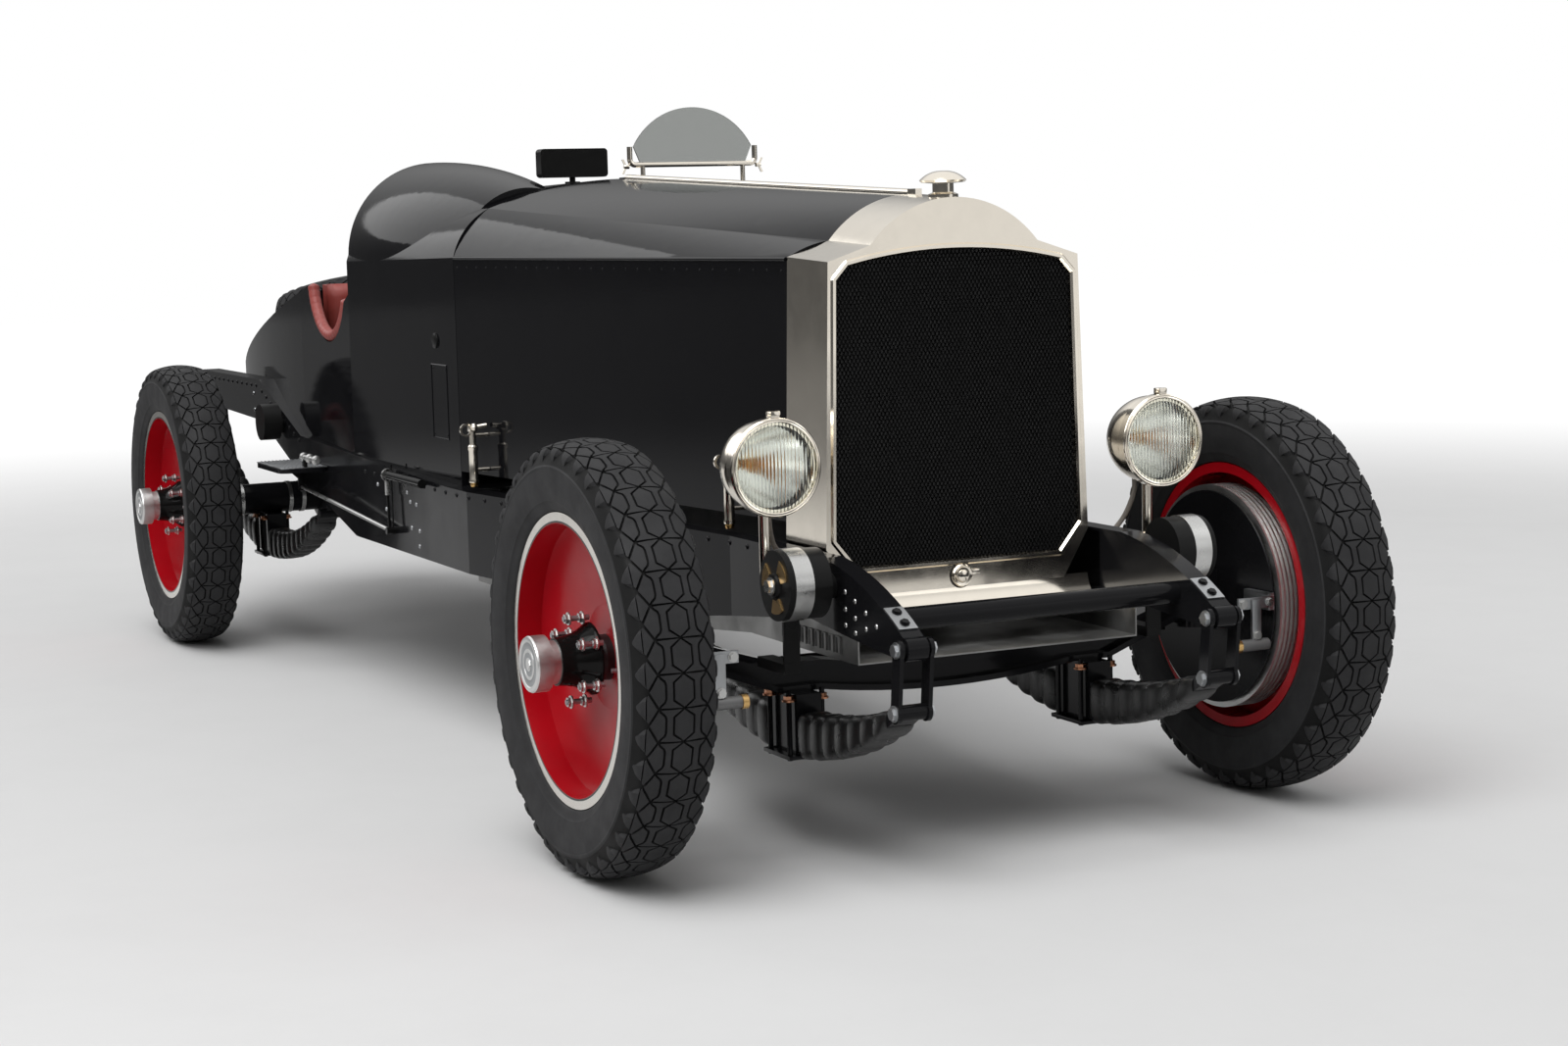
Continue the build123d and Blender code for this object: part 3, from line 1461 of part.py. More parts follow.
# Hood latches, two on each side panel
def hood_side_y(x):
    """Outer face of the hood's side panel at x."""
    share = (hood_x - x) / (hood_x - hood_rear_x)
    return shell_upper_half + (hood_rear_half - shell_upper_half) * share


for side, hand in ((1, "left"), (-1, "right")):
    with BuildPart() as latches:
        for back in (latch_front_back, latch_rear_back):
            x = front_x - back
            face_y = hood_side_y(x)
            tube_y = side * (face_y + latch_stand_off)
            with BuildSketch(Plane.XY.offset(latch_low_z)):
                with Locations((x, tube_y)):
                    Circle(latch_tube_radius)
            extrude(amount=latch_height)
            for arm_z in (latch_low_z + latch_height * 0.25, latch_low_z + latch_height * 0.85):
                with BuildSketch(Plane(origin=(x, tube_y, arm_z), x_dir=(1, 0, 0), z_dir=(0, -side, 0))):
                    Circle(5)
                extrude(amount=latch_stand_off - 1)
            ring_z = latch_low_z + latch_height - 8
            with BuildSketch(
                Plane(origin=(x, tube_y + side * 10, ring_z), x_dir=(0, 1, 0), z_dir=(1, 0, 0))
            ):
                with Locations((side * 6, 0)):
                    Circle(latch_ring_radius)
                    Circle(latch_ring_radius - 5, mode=Mode.SUBTRACT)
            extrude(amount=3, both=True)
    finish(latches, f"hood_latches_{hand}")


# Headlamps on their brackets
lamp_x = front_x + lamp_forward
lamp_back_x = lamp_x - lamp_depth
with BuildPart() as headlamps:
    with BuildSketch(Plane(origin=(0, lamp_y, lamp_z), x_dir=(1, 0, 0), z_dir=(0, -1, 0))):
        with BuildLine():
            glass_x = lamp_x - lens_thickness - seat_gap
            bowl_radius = lamp_radius - lamp_lip
            Line((lamp_back_x, 0), (lamp_back_x + lamp_bowl_wall, 0))
            ThreePointArc(
                (lamp_back_x + lamp_bowl_wall, 0), (lamp_back_x + 44, lamp_radius * 0.66),
                (glass_x - 12, bowl_radius),
            )
            Polyline(
                (glass_x - 12, bowl_radius), (glass_x, bowl_radius), (glass_x, lamp_rim_radius - 7),
                (lamp_x, lamp_rim_radius - 7), (lamp_x, lamp_rim_radius - 3), (lamp_x - 4, lamp_rim_radius),
                (lamp_x - lamp_rim_width, lamp_rim_radius), (lamp_x - lamp_rim_width, lamp_radius),
            )
            ThreePointArc(
                (lamp_x - lamp_rim_width, lamp_radius), (lamp_back_x + 36, lamp_radius * 0.72),
                (lamp_back_x, 0),
            )
        make_face()
    revolve(axis=Axis((0, lamp_y, lamp_z), (1, 0, 0)))
    post_x = lamp_x - lamp_depth * 0.42
    arm_z = rail_top - 28
    with BuildSketch(Plane.XY.offset(arm_z - 12)):
        with Locations((post_x, lamp_y)):
            Circle(post_radius)
    extrude(amount=lamp_z - lamp_radius + 20 - arm_z + 12)
    with BuildSketch(Plane(origin=(post_x, lamp_y, arm_z), x_dir=(1, 0, 0), z_dir=(0, -1, 0))):
        RectangleRounded(2 * post_radius + 6, 24, 6)
    extrude(amount=lamp_y - rail_outer_front - seat_gap)
    mirror(about=Plane.XZ)
finish(headlamps, "headlamps")

with BuildPart() as headlamp_lenses:
    with BuildSketch(Plane.YZ.offset(lamp_x - lens_thickness)):
        with Locations((lamp_y, lamp_z), (-lamp_y, lamp_z)):
            Circle(lamp_rim_radius - 7 - seat_gap)
    extrude(amount=lens_thickness - 1)
finish(headlamp_lenses, "headlamp_lenses")


# Shock absorbers: drums on the frame, with straps to the axles
with BuildPart() as shock_absorbers:
    shock_x = front_x + shock_forward
    inner_y = shock_y - shock_width / 2
    with BuildSketch(Plane(origin=(shock_x, inner_y, shock_z), x_dir=(1, 0, 0), z_dir=(0, 1, 0))):
        Circle(shock_radius)
    extrude(amount=shock_width)
    with BuildSketch(Plane(origin=(shock_x, inner_y + 1, shock_z - 10), x_dir=(1, 0, 0), z_dir=(0, -1, 0))):
        Circle(24)
    extrude(amount=inner_y + 1 - rail_outer_front - seat_gap)
    strap_x = shock_x - shock_radius
    strap_low_z = tyre_radius - 34
    with BuildSketch(Plane.YZ.offset(strap_x + 1)):
        with Locations((shock_y - 20, strap_low_z - 10)):
            Rectangle(shock_strap_width, shock_z - strap_low_z + 10, align=(Align.CENTER, Align.MIN))
    extrude(amount=-shock_strap_thickness)
    with BuildSketch(Plane.YZ.offset(front_x + axle_flange_width / 2 + seat_gap)):
        with Locations((shock_y - 20, strap_low_z)):
            Rectangle(shock_strap_width, 20)
    extrude(amount=strap_x - front_x - axle_flange_width / 2 + 1)
    rear_shock_x = rear_x + rear_shock_forward
    rear_shock_z = rail_top + rail_rise + 30
    rear_shock_room = wheel_y - tyre_width / 2 - rail_outer_rear
    rear_shock_gap = rear_shock_room * 0.075
    shock_inner = rail_outer_rear + rear_shock_gap
    with BuildSketch(
        Plane(origin=(rear_shock_x, shock_inner, rear_shock_z), x_dir=(1, 0, 0), z_dir=(0, 1, 0))
    ):
        Circle(shock_radius * 0.8)
    extrude(amount=rear_shock_room * rear_shock_share)
    with BuildSketch(
        Plane(origin=(rear_shock_x, shock_inner + 1, rear_shock_z - 10), x_dir=(1, 0, 0), z_dir=(0, -1, 0))
    ):
        Circle(24)
    extrude(amount=rear_shock_gap + 1 - seat_gap)
    mirror(about=Plane.XZ)
finish(shock_absorbers, "shock_absorbers")


# Belly pan: a tray whose walls meet the rails' inner edges
def pan_side(inset, top_lift):
    """Side view of the tray, drawn inwards from its floor by inset."""
    with BuildSketch() as face:
        with BuildLine():
            Polyline(
                (pan_front_x, pan_front_z + inset), (front_x - 250, pan_front_z + inset),
                (front_x - pan_low_back, pan_low_z + inset), (pan_rear_x, pan_low_z + inset),
                (pan_rear_x, rail_bottom + pan_lap + top_lift),
                (front_x - 560, rail_bottom + pan_lap + top_lift),
                (pan_front_x, horn_root_z + pan_lap + top_lift), close=True,
            )
        make_face()
    return face.sketch


def pan_plan(inset):
    half_front = rail_half_gap_front - seat_gap - inset
    half_rear = rail_outer_rear - rail_flange_rear - seat_gap - inset
    with BuildSketch() as face:
        with BuildLine():
            Polyline(
                (pan_front_x, -half_front), (pan_front_x, half_front), (widen_front_x, half_front),
                (widen_rear_x, half_rear), (pan_rear_x, half_rear), (pan_rear_x, -half_rear),
                (widen_rear_x, -half_rear), (widen_front_x, -half_front), close=True,
            )
        make_face()
    return face.sketch


pan_front_x = front_x + pan_front_forward
pan_rear_x = front_x - pan_rear_back
with BuildPart() as pan_room:
    with BuildSketch(Plane.XZ):
        add(pan_side(pan_sheet, 50))
    extrude(amount=body_half, both=True)
    with BuildSketch(Plane.XY):
        add(pan_plan(pan_sheet))
    extrude(amount=1000, mode=Mode.INTERSECT)

with BuildPart() as belly_pan:
    with BuildSketch(Plane.XZ):
        add(pan_side(0, 0))
    extrude(amount=body_half, both=True)
    with BuildSketch(Plane.XY):
        add(pan_plan(0))
    extrude(amount=1000, mode=Mode.INTERSECT)
    add(pan_room.part, mode=Mode.SUBTRACT)
finish(belly_pan, "belly_pan")
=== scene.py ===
"""Dress the vintage speedster: finishes, tread, fittings, seat, stage and camera.

Everything is in metres in the car's own frame: X forward, Y to the left, Z up, with the origin
on the ground. The file is laid out as an add-on and is run as a script.
"""
import math

import bmesh
import bpy
from mathutils import Matrix, Vector


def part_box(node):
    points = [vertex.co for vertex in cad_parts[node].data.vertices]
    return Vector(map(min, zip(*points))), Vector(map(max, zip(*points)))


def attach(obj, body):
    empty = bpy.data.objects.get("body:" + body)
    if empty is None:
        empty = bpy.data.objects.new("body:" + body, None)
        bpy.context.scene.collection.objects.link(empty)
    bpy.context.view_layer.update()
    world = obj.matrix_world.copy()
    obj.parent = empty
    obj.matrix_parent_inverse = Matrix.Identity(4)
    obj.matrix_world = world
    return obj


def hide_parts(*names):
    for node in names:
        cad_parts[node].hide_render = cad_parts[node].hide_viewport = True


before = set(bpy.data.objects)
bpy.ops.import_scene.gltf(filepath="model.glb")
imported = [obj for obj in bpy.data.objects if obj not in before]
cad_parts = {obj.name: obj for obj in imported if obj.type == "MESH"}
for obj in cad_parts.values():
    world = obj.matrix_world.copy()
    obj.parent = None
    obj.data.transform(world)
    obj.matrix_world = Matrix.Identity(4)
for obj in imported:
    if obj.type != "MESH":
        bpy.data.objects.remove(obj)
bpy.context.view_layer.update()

bl_info = {
    "name": "Vintage Speedster",
    "version": (1, 0, 0),
    "blender": (4, 5, 0),
    "location": "3D View > Sidebar > Speedster",
    "description": "Finishes and fittings for a vintage speedster",
    "category": "Object",
}

X_AXIS = Vector((1, 0, 0))
Y_AXIS = Vector((0, 1, 0))
Z_AXIS = Vector((0, 0, 1))
SIDES = (("left", 1), ("right", -1))
HANDS = ("left", "right")
BOTH = (1, -1)
ENDS = ("front", "rear")


def node_box(name):
    """Lowest and highest corners of a CAD node."""
    low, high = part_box(name)
    return Vector(low), Vector(high)


def wheel_centre(end, hand):
    """Middle of a wheel, from its tyre."""
    low, high = node_box(f"tyre_{end}_{hand}")
    return (low + high) / 2


def latch_place(x):
    """Distance of a latch's tube from the middle of the car, from the latch's own mesh."""
    mesh = bpy.data.objects["hood_latches_left"].data
    near = [v.co.y for v in mesh.vertices if abs(v.co.x - x) < 0.009 and v.co.z < 0.640]
    return (min(near) + max(near)) / 2


TYRE_LOW, TYRE_HIGH = node_box("tyre_front_left")
TYRE_RADIUS = (TYRE_HIGH.z - TYRE_LOW.z) / 2
FRONT_AXLE = wheel_centre("front", "left").x
REAR_AXLE = wheel_centre("rear", "left").x
LATCH_X = (1.690, 0.515)
LATCH_Y = {x: latch_place(x) for x in LATCH_X}


# Settings that a user would change
class SpeedsterPaint(bpy.types.PropertyGroup):
    """Colours of the car's finishes"""

    body: bpy.props.FloatVectorProperty(
        name="Body", description="Black coach paint", subtype="COLOR", size=3, min=0, max=1,
        default=(0.006, 0.006, 0.007))
    chassis: bpy.props.FloatVectorProperty(
        name="Chassis", description="Black enamel", subtype="COLOR", size=3, min=0, max=1,
        default=(0.008, 0.008, 0.009))
    nickel: bpy.props.FloatVectorProperty(
        name="Nickel", description="Warm nickel plate", subtype="COLOR", size=3, min=0, max=1,
        default=(0.86, 0.80, 0.70))
    wheel: bpy.props.FloatVectorProperty(
        name="Wheels", description="Deep red of the wheel discs", subtype="COLOR", size=3, min=0, max=1,
        default=(0.40, 0.004, 0.010))
    leather: bpy.props.FloatVectorProperty(
        name="Leather", description="Dusty red leather", subtype="COLOR", size=3, min=0, max=1,
        default=(0.32, 0.055, 0.045))
    tyre: bpy.props.FloatVectorProperty(
        name="Tyres", description="Dark grey rubber", subtype="COLOR", size=3, min=0, max=1,
        default=(0.020, 0.020, 0.021))
    floor: bpy.props.FloatVectorProperty(
        name="Floor", description="Pale studio floor", subtype="COLOR", size=3, min=0, max=1,
        default=(0.66, 0.66, 0.66))


class SpeedsterTyre(bpy.types.PropertyGroup):
    """Sizes of the tyre tread"""

    pitches: bpy.props.IntProperty(
        name="Pitches", description="Tread links round the tyre", min=20, max=80, default=42)
    groove: bpy.props.FloatProperty(
        name="Groove", description="Width of a tread groove", unit="LENGTH", default=0.0044)
    depth: bpy.props.FloatProperty(
        name="Depth", description="Depth of a tread groove", unit="LENGTH", default=0.007)
    link_half: bpy.props.FloatProperty(
        name="Link half-width", description="Half-width of the chain of links", unit="LENGTH", default=0.0195)


class SpeedsterFittings(bpy.types.PropertyGroup):
    """Sizes of rivets, bolts, radiator cells and lens ribs"""

    rivet: bpy.props.FloatProperty(
        name="Rivet", description="Radius of a panel rivet", unit="LENGTH", default=0.0026)
    bolt: bpy.props.FloatProperty(
        name="Bolt", description="Radius of a frame bolt's head", unit="LENGTH", default=0.0095)
    cell: bpy.props.FloatProperty(
        name="Cell", description="Width of a radiator cell", unit="LENGTH", default=0.0088)
    rib: bpy.props.FloatProperty(
        name="Lens rib", description="Width of a rib of the headlamp glass", unit="LENGTH", default=0.0075)


class SpeedsterStage(bpy.types.PropertyGroup):
    """Studio and camera"""

    lens: bpy.props.FloatProperty(
        name="Lens", description="Focal length in millimetres on a 36 mm sensor", default=61.63)
    light: bpy.props.FloatProperty(
        name="Light", description="Power of the large soft lamp", unit="POWER", default=160.0)
    sky: bpy.props.FloatProperty(
        name="Sky", description="Strength of the even light from all round", default=0.42)


SETTINGS = (
    ("speedster_paint", SpeedsterPaint),
    ("speedster_tyre", SpeedsterTyre),
    ("speedster_fittings", SpeedsterFittings),
    ("speedster_stage", SpeedsterStage),
)


def paint():
    """Colours that the user can change."""
    return bpy.context.scene.speedster_paint


# Shader helpers
def add_node(tree, kind, sockets=None, **settings):
    """Add a node, set its plain attributes, then fill or link its inputs by index or name."""
    node = tree.nodes.new(kind)
    for key, value in settings.items():
        setattr(node, key, value)
    for key, value in (sockets or {}).items():
        if isinstance(value, bpy.types.NodeSocket):
            tree.links.new(value, node.inputs[key])
        else:
            node.inputs[key].default_value = value
    return node


def calculate(tree, operation, *values):
    """The result of a math node on numbers and sockets."""
    return add_node(tree, "ShaderNodeMath", dict(enumerate(values)), operation=operation).outputs[0]


SOCKET_KINDS = {
    "f": "NodeSocketFloat", "i": "NodeSocketInt", "v": "NodeSocketVector", "g": "NodeSocketGeometry",
    "m": "NodeSocketMaterial"}


def new_tree(kind, name, inputs, output):
    """An empty node group with inputs as (label, socket, default) and one output."""
    tree = bpy.data.node_groups.new(name, kind)
    for way, rows in (("INPUT", inputs), ("OUTPUT", (output,))):
        for label, key, *default in rows:
            socket = tree.interface.new_socket(name=label, in_out=way, socket_type=SOCKET_KINDS[key])
            if default:
                socket.default_value = default[0]
    return tree, tree.nodes.new("NodeGroupInput").outputs, tree.nodes.new("NodeGroupOutput").inputs


def blotch_group():
    """Slow variation of a finish, as a value between Low and High."""
    tree, enter, leave = new_tree(
        "ShaderNodeTree", "Blotches",
        (("Vector", "v"), ("Scale", "f", 8.0), ("Low", "f", 0.1), ("High", "f", 0.2)), ("Value", "f"))
    noise = add_node(tree, "ShaderNodeTexNoise", {
        "Vector": enter["Vector"], "Scale": enter["Scale"], "Detail": 6, "Roughness": 0.6})
    spread = add_node(tree, "ShaderNodeMapRange", {
        "Value": noise.outputs["Fac"], "From Min": 0.32, "From Max": 0.68,
        "To Min": enter["Low"], "To Max": enter["High"]})
    tree.links.new(spread.outputs["Result"], leave[0])


def grain_group():
    """Leather or rubber grain: cells with soft creases, as a height."""
    tree, enter, leave = new_tree(
        "ShaderNodeTree", "Grain", (("Vector", "v"), ("Scale", "f", 400.0), ("Crease", "f", 0.6)),
        ("Height", "f"))
    cells = add_node(tree, "ShaderNodeTexVoronoi", {
        "Vector": enter["Vector"], "Scale": enter["Scale"]}, feature="DISTANCE_TO_EDGE")
    fine = add_node(tree, "ShaderNodeTexNoise", {
        "Vector": enter["Vector"], "Scale": calculate(tree, "MULTIPLY", enter["Scale"], 0.4), "Detail": 4})
    edge = calculate(tree, "MINIMUM", cells.outputs["Distance"], 0.25)
    high = calculate(tree, "MULTIPLY", calculate(tree, "MULTIPLY", edge, 4.0), enter["Crease"])
    low = calculate(tree, "MULTIPLY", fine.outputs["Fac"], 0.5)
    tree.links.new(calculate(tree, "ADD", high, low), leave[0])


def ring_group():
    """Distance from a wheel's axle line, given the wheel's X and Z."""
    tree, enter, leave = new_tree(
        "ShaderNodeTree", "From axle", (("Vector", "v"), ("X", "f", 0.0), ("Z", "f", 0.0)), ("Distance", "f"))
    parts = add_node(tree, "ShaderNodeSeparateXYZ", {0: enter["Vector"]}).outputs
    gaps = [calculate(tree, "SUBTRACT", parts[key], enter[key]) for key in ("X", "Z")]
    squares = [calculate(tree, "MULTIPLY", gap, gap) for gap in gaps]
    tree.links.new(calculate(tree, "SQRT", calculate(tree, "ADD", *squares)), leave[0])


def dust_group():
    """Mask of dust and wear in patches."""
    tree, enter, leave = new_tree(
        "ShaderNodeTree", "Dust", (("Vector", "v"), ("Scale", "f", 6.0), ("Amount", "f", 0.3)), ("Mask", "f"))
    noise = add_node(tree, "ShaderNodeTexNoise", {
        "Vector": enter["Vector"], "Scale": enter["Scale"], "Detail": 8, "Roughness": 0.7})
    spread = add_node(tree, "ShaderNodeMapRange", {
        "Value": noise.outputs["Fac"], "From Min": 0.42, "From Max": 0.8, "To Max": enter["Amount"]})
    tree.links.new(spread.outputs["Result"], leave[0])


class Finish:
    """One material under construction, with short ways to place and link its nodes."""

    def __init__(self, name, rgb, metallic=0.0, roughness=0.5):
        self.material = bpy.data.materials.new(name)
        self.material.use_nodes = True
        self.tree = self.material.node_tree
        self.shader = self.tree.nodes["Principled BSDF"]
        self.set(Base_Color=(*rgb, 1), Metallic=metallic, Roughness=roughness)
        self.where = self.node("ShaderNodeTexCoord").outputs["Object"]

    def set(self, **values):
        """Plain values on the shader's own sockets, with _ for a space in a name."""
        for key, value in values.items():
            self.shader.inputs[key.replace("_", " ")].default_value = value

    def feed(self, source, target):
        """Link an output to one of the shader's inputs."""
        self.tree.links.new(source, self.shader.inputs[target])

    def node(self, kind, sockets=None, **settings):
        """A node in this material."""
        return add_node(self.tree, kind, sockets, **settings)

    def math(self, operation, *values):
        """The result of a math node in this material."""
        return calculate(self.tree, operation, *values)

    def group(self, name, **values):
        """The output of a shared group, with its inputs by lower-case name."""
        sockets = {key.capitalize(): value for key, value in values.items()}
        sockets["Vector"] = self.where
        return self.node("ShaderNodeGroup", sockets, node_tree=bpy.data.node_groups[name]).outputs[0]

    def mix(self, mask, first, second):
        """Blend two colours by a mask and return the colour output."""
        return self.node("ShaderNodeMix", {0: mask, 6: first, 7: second}, data_type="RGBA").outputs[2]

    def worn(self, rgb, other, scale, amount):
        """A colour that turns into another in dusty patches."""
        return self.mix(self.group("Dust", scale=scale, amount=amount), colour(rgb), other)

    def patchy(self, scale, low, high):
        """Roughness that drifts between low and high."""
        self.feed(self.group("Blotches", scale=scale, low=low, high=high), "Roughness")

    def bump(self, height, strength, distance):
        """Small relief of the surface from a height."""
        node = self.node("ShaderNodeBump", {"Strength": strength, "Distance": distance, "Height": height})
        self.feed(node.outputs[0], "Normal")

    def ripple(self, scale, strength, distance):
        """Slow waves of the surface."""
        self.bump(self.group("Blotches", scale=scale, low=0.0, high=1.0), strength, distance)


def colour(rgb, factor=1.0):
    """RGB and alpha of a colour made lighter or darker."""
    return tuple(min(c * factor, 1.0) for c in rgb) + (1.0,)


def coach_paint(name, rgb, low=0.05, high=0.10):
    """Polished coach paint with faint haze, dust and waves."""
    finish = Finish(name, rgb)
    finish.set(IOR=1.21)
    finish.patchy(5.0, low, high)
    finish.feed(finish.worn(rgb, (0.016, 0.016, 0.015, 1), 9.0, 0.10), "Base Color")
    finish.ripple(160.0, 0.015, 0.001)
    return finish.material


def plated(name, rgb, low, high, bump=0.03):
    """Plated or polished metal, with clouded patches and fine polishing marks."""
    finish = Finish(name, rgb, metallic=1.0)
    finish.patchy(14.0, low, high)
    finish.feed(finish.worn(rgb, colour(rgb, 0.82), 25.0, 0.25), "Base Color")
    if bump > 0:
        finish.ripple(420.0, bump, 0.0006)
    return finish.material


def rubber(name, rgb):
    """Dusty rubber, darker where the mesh's groove attribute is 1: painted shade on the floors of the tread
    grooves.
    """
    finish = Finish(name, rgb, roughness=0.75)
    finish.set(Specular_IOR_Level=0.25)
    finish.patchy(12.0, 0.58, 0.8)
    worn = finish.worn(rgb, colour(rgb, 2.0), 18.0, 0.55)
    # Painted shade: faces marked by the groove attribute take 0.12 of the rubber's colour.
    deep = finish.node("ShaderNodeAttribute", attribute_name="groove").outputs["Fac"]
    finish.feed(finish.mix(deep, worn, colour(rgb, 0.12)), "Base Color")
    finish.bump(finish.group("Grain", scale=900.0, crease=0.4), 0.12, 0.0005)
    return finish.material


def leather(name, rgb, scale=420.0, low=0.36):
    """Grained leather with darker worn patches."""
    finish = Finish(name, rgb, roughness=0.45)
    finish.patchy(18.0, low, low + 0.18)
    finish.feed(finish.worn(rgb, colour(rgb, 0.55), 22.0, 0.6), "Base Color")
    finish.bump(finish.group("Grain", scale=scale, crease=0.8), 0.35, 0.0006)
    return finish.material


# Where the finishes of a wheel meet: radius of the rim, and distances along the axle from the wheel's middle
RIM_RADIUS = 0.2665
LIP_START = 0.042
CAP_START = 0.086
DRUM_END = 0.029


def wheel_paint(name, centre):
    """Red dish inside a nickel rim on the outer lip, with a dark line between them."""
    rgb = paint().wheel
    finish = Finish(name, rgb)
    finish.set(IOR=1.32)
    distance = finish.group("From axle", x=centre.x, z=centre.z)
    wide = finish.math("ABSOLUTE", finish.node("ShaderNodeSeparateXYZ", {0: finish.where}).outputs["Y"])
    outer = finish.math("GREATER_THAN", wide, abs(centre.y) + LIP_START)
    rim = finish.math("MULTIPLY", finish.math("GREATER_THAN", distance, RIM_RADIUS), outer)
    line = finish.math("MULTIPLY", finish.math("COMPARE", distance, RIM_RADIUS - 0.0020, 0.0020), outer)
    red = finish.mix(line, finish.worn(rgb, colour(rgb, 0.55), 11.0, 0.30), (0.006, 0.005, 0.005, 1))
    finish.feed(finish.mix(rim, red, (0.74, 0.71, 0.66, 1)), "Base Color")
    finish.feed(rim, "Metallic")
    finish.patchy(16.0, 0.13, 0.24)
    finish.ripple(220.0, 0.02, 0.001)
    return finish.material


def hub_finish(name, centre, outboard):
    """Black barrel between a bright drum and a turned aluminium cap, split along the axle."""
    finish = Finish(name, (0.62, 0.62, 0.61))
    parts = finish.node("ShaderNodeSeparateXYZ", {0: finish.where}).outputs
    along = finish.math("MULTIPLY", parts["Y"], outboard)
    cap = finish.math("GREATER_THAN", along, abs(centre.y) + CAP_START)
    drum = finish.math("LESS_THAN", along, abs(centre.y) - DRUM_END)
    bright = finish.math("MAXIMUM", cap, drum)
    distance = finish.group("From axle", x=centre.x, z=centre.z)
    metal = finish.worn((0.66, 0.66, 0.65), (0.46, 0.46, 0.45, 1), 30.0, 0.5)
    turned_metal = finish.mix(drum, metal, (0.80, 0.80, 0.79, 1))
    finish.feed(finish.mix(bright, (0.010, 0.010, 0.011, 1), turned_metal), "Base Color")
    finish.feed(bright, "Metallic")
    finish.patchy(20.0, 0.30, 0.46)
    finish.bump(finish.math("SINE", finish.math("MULTIPLY", distance, 9000.0)), 0.05, 0.0003)
    return finish.material


def glass(name, tint):
    """Slightly wavy glass."""
    finish = Finish(name, tint, roughness=0.02)
    finish.set(Transmission_Weight=1.0, IOR=1.45)
    finish.ripple(30.0, 0.02, 0.001)
    return finish.material


def core_black(name):
    """Dull black of the radiator's cells, with grey dust."""
    rgb = (0.004, 0.004, 0.004)
    finish = Finish(name, rgb, roughness=0.6)
    finish.patchy(40.0, 0.35, 0.6)
    finish.feed(finish.worn(rgb, (0.018, 0.018, 0.019, 1), 60.0, 0.5), "Base Color")
    return finish.material


MATERIALS = {}


def make_materials():
    """Node groups first, then every finish of the car."""
    for build in (blotch_group, grain_group, ring_group, dust_group):
        build()
    tones = paint()
    MATERIALS.update({
        "body": coach_paint("Coach black", tones.body),
        "chassis": coach_paint("Chassis enamel", tones.chassis, 0.10, 0.20),
        "nickel": plated("Nickel plate", tones.nickel, 0.10, 0.17, 0.0),
        "cap": plated("Turned aluminium", (0.70, 0.70, 0.69), 0.30, 0.42),
        "gloss": coach_paint("Gloss black", (0.006, 0.006, 0.006), 0.06, 0.12),
        "steel": plated("Bright steel", (0.56, 0.56, 0.55), 0.22, 0.38),
        "zinc": plated("Grey plated steel", (0.40, 0.41, 0.42), 0.3, 0.5),
        "alloy": plated("Sheet aluminium", (0.26, 0.26, 0.255), 0.34, 0.55, 0.08),
        "mirror": plated("Silvered reflector", (0.90, 0.90, 0.88), 0.10, 0.18, 0.0),
        "brass": plated("Brass", (0.62, 0.40, 0.16), 0.2, 0.35),
        "copper": plated("Copper nuts", (0.50, 0.24, 0.14), 0.3, 0.45),
        "tyre": rubber("Tyre rubber", tones.tyre),
        "leather": leather("Red leather", tones.leather, 420.0, 0.28),
        "gaiter": leather("Black gaiter", (0.010, 0.010, 0.010), 260.0, 0.22),
        "braid": rubber("Braided conduit", (0.22, 0.20, 0.18)),
        "amber": coach_paint("Amber bulb", (0.75, 0.28, 0.04), 0.10, 0.20),
        "trim": coach_paint("Black trim", (0.010, 0.010, 0.010), 0.25, 0.4),
        "iron": plated("Engine iron", (0.20, 0.20, 0.20), 0.5, 0.7, 0.2),
        "core": core_black("Radiator black"),
        "wood": leather("Dark rim", (0.022, 0.010, 0.006), 120.0),
        "pale": rubber("White dial", (0.55, 0.55, 0.50)),
        "screen": glass("Smoked glass", (0.26, 0.27, 0.26)),
        "lens": glass("Clear glass", (0.93, 0.95, 0.92)),
    })


# Mesh helpers
def place_in_scene(thing):
    """Put an object in the scene and return it."""
    bpy.context.scene.collection.objects.link(thing)
    return thing


def finish_mesh(name, mesh, material, body, angle=35.0):
    """Shade a mesh, give it its material and let it ride on a body."""
    mesh.polygons.foreach_set("use_smooth", [True] * len(mesh.polygons))
    mesh.set_sharp_from_angle(angle=math.radians(angle))
    mesh.materials.clear()
    mesh.materials.append(MATERIALS[material])
    piece = place_in_scene(bpy.data.objects.new(name, mesh))
    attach(piece, body)
    return piece


def to_mesh(name, bm):
    """Turn a bmesh into a mesh with outward faces."""
    bmesh.ops.recalc_face_normals(bm, faces=bm.faces)
    mesh = bpy.data.meshes.new(name)
    bm.to_mesh(mesh)
    bm.free()
    return mesh


def new_piece(name, bm, material, body, angle=35.0):
    """Turn a bmesh into a finished piece."""
    bmesh.ops.remove_doubles(bm, verts=bm.verts, dist=1e-6)
    return finish_mesh(name, to_mesh(name, bm), material, body, angle)


def turned(name, profile, centre, axis, material, body, segments=32, closed=False, angle=35.0):
    """One piece turned from (along, radius) points about an axis."""
    bm = bmesh.new()
    add_lathe(bm, profile, centre, axis, segments, closed)
    return new_piece(name, bm, material, body, angle)


def across(axis):
    """Two unit vectors square to an axis."""
    axis = axis.normalized()
    first = axis.orthogonal().normalized()
    return first, axis.cross(first)


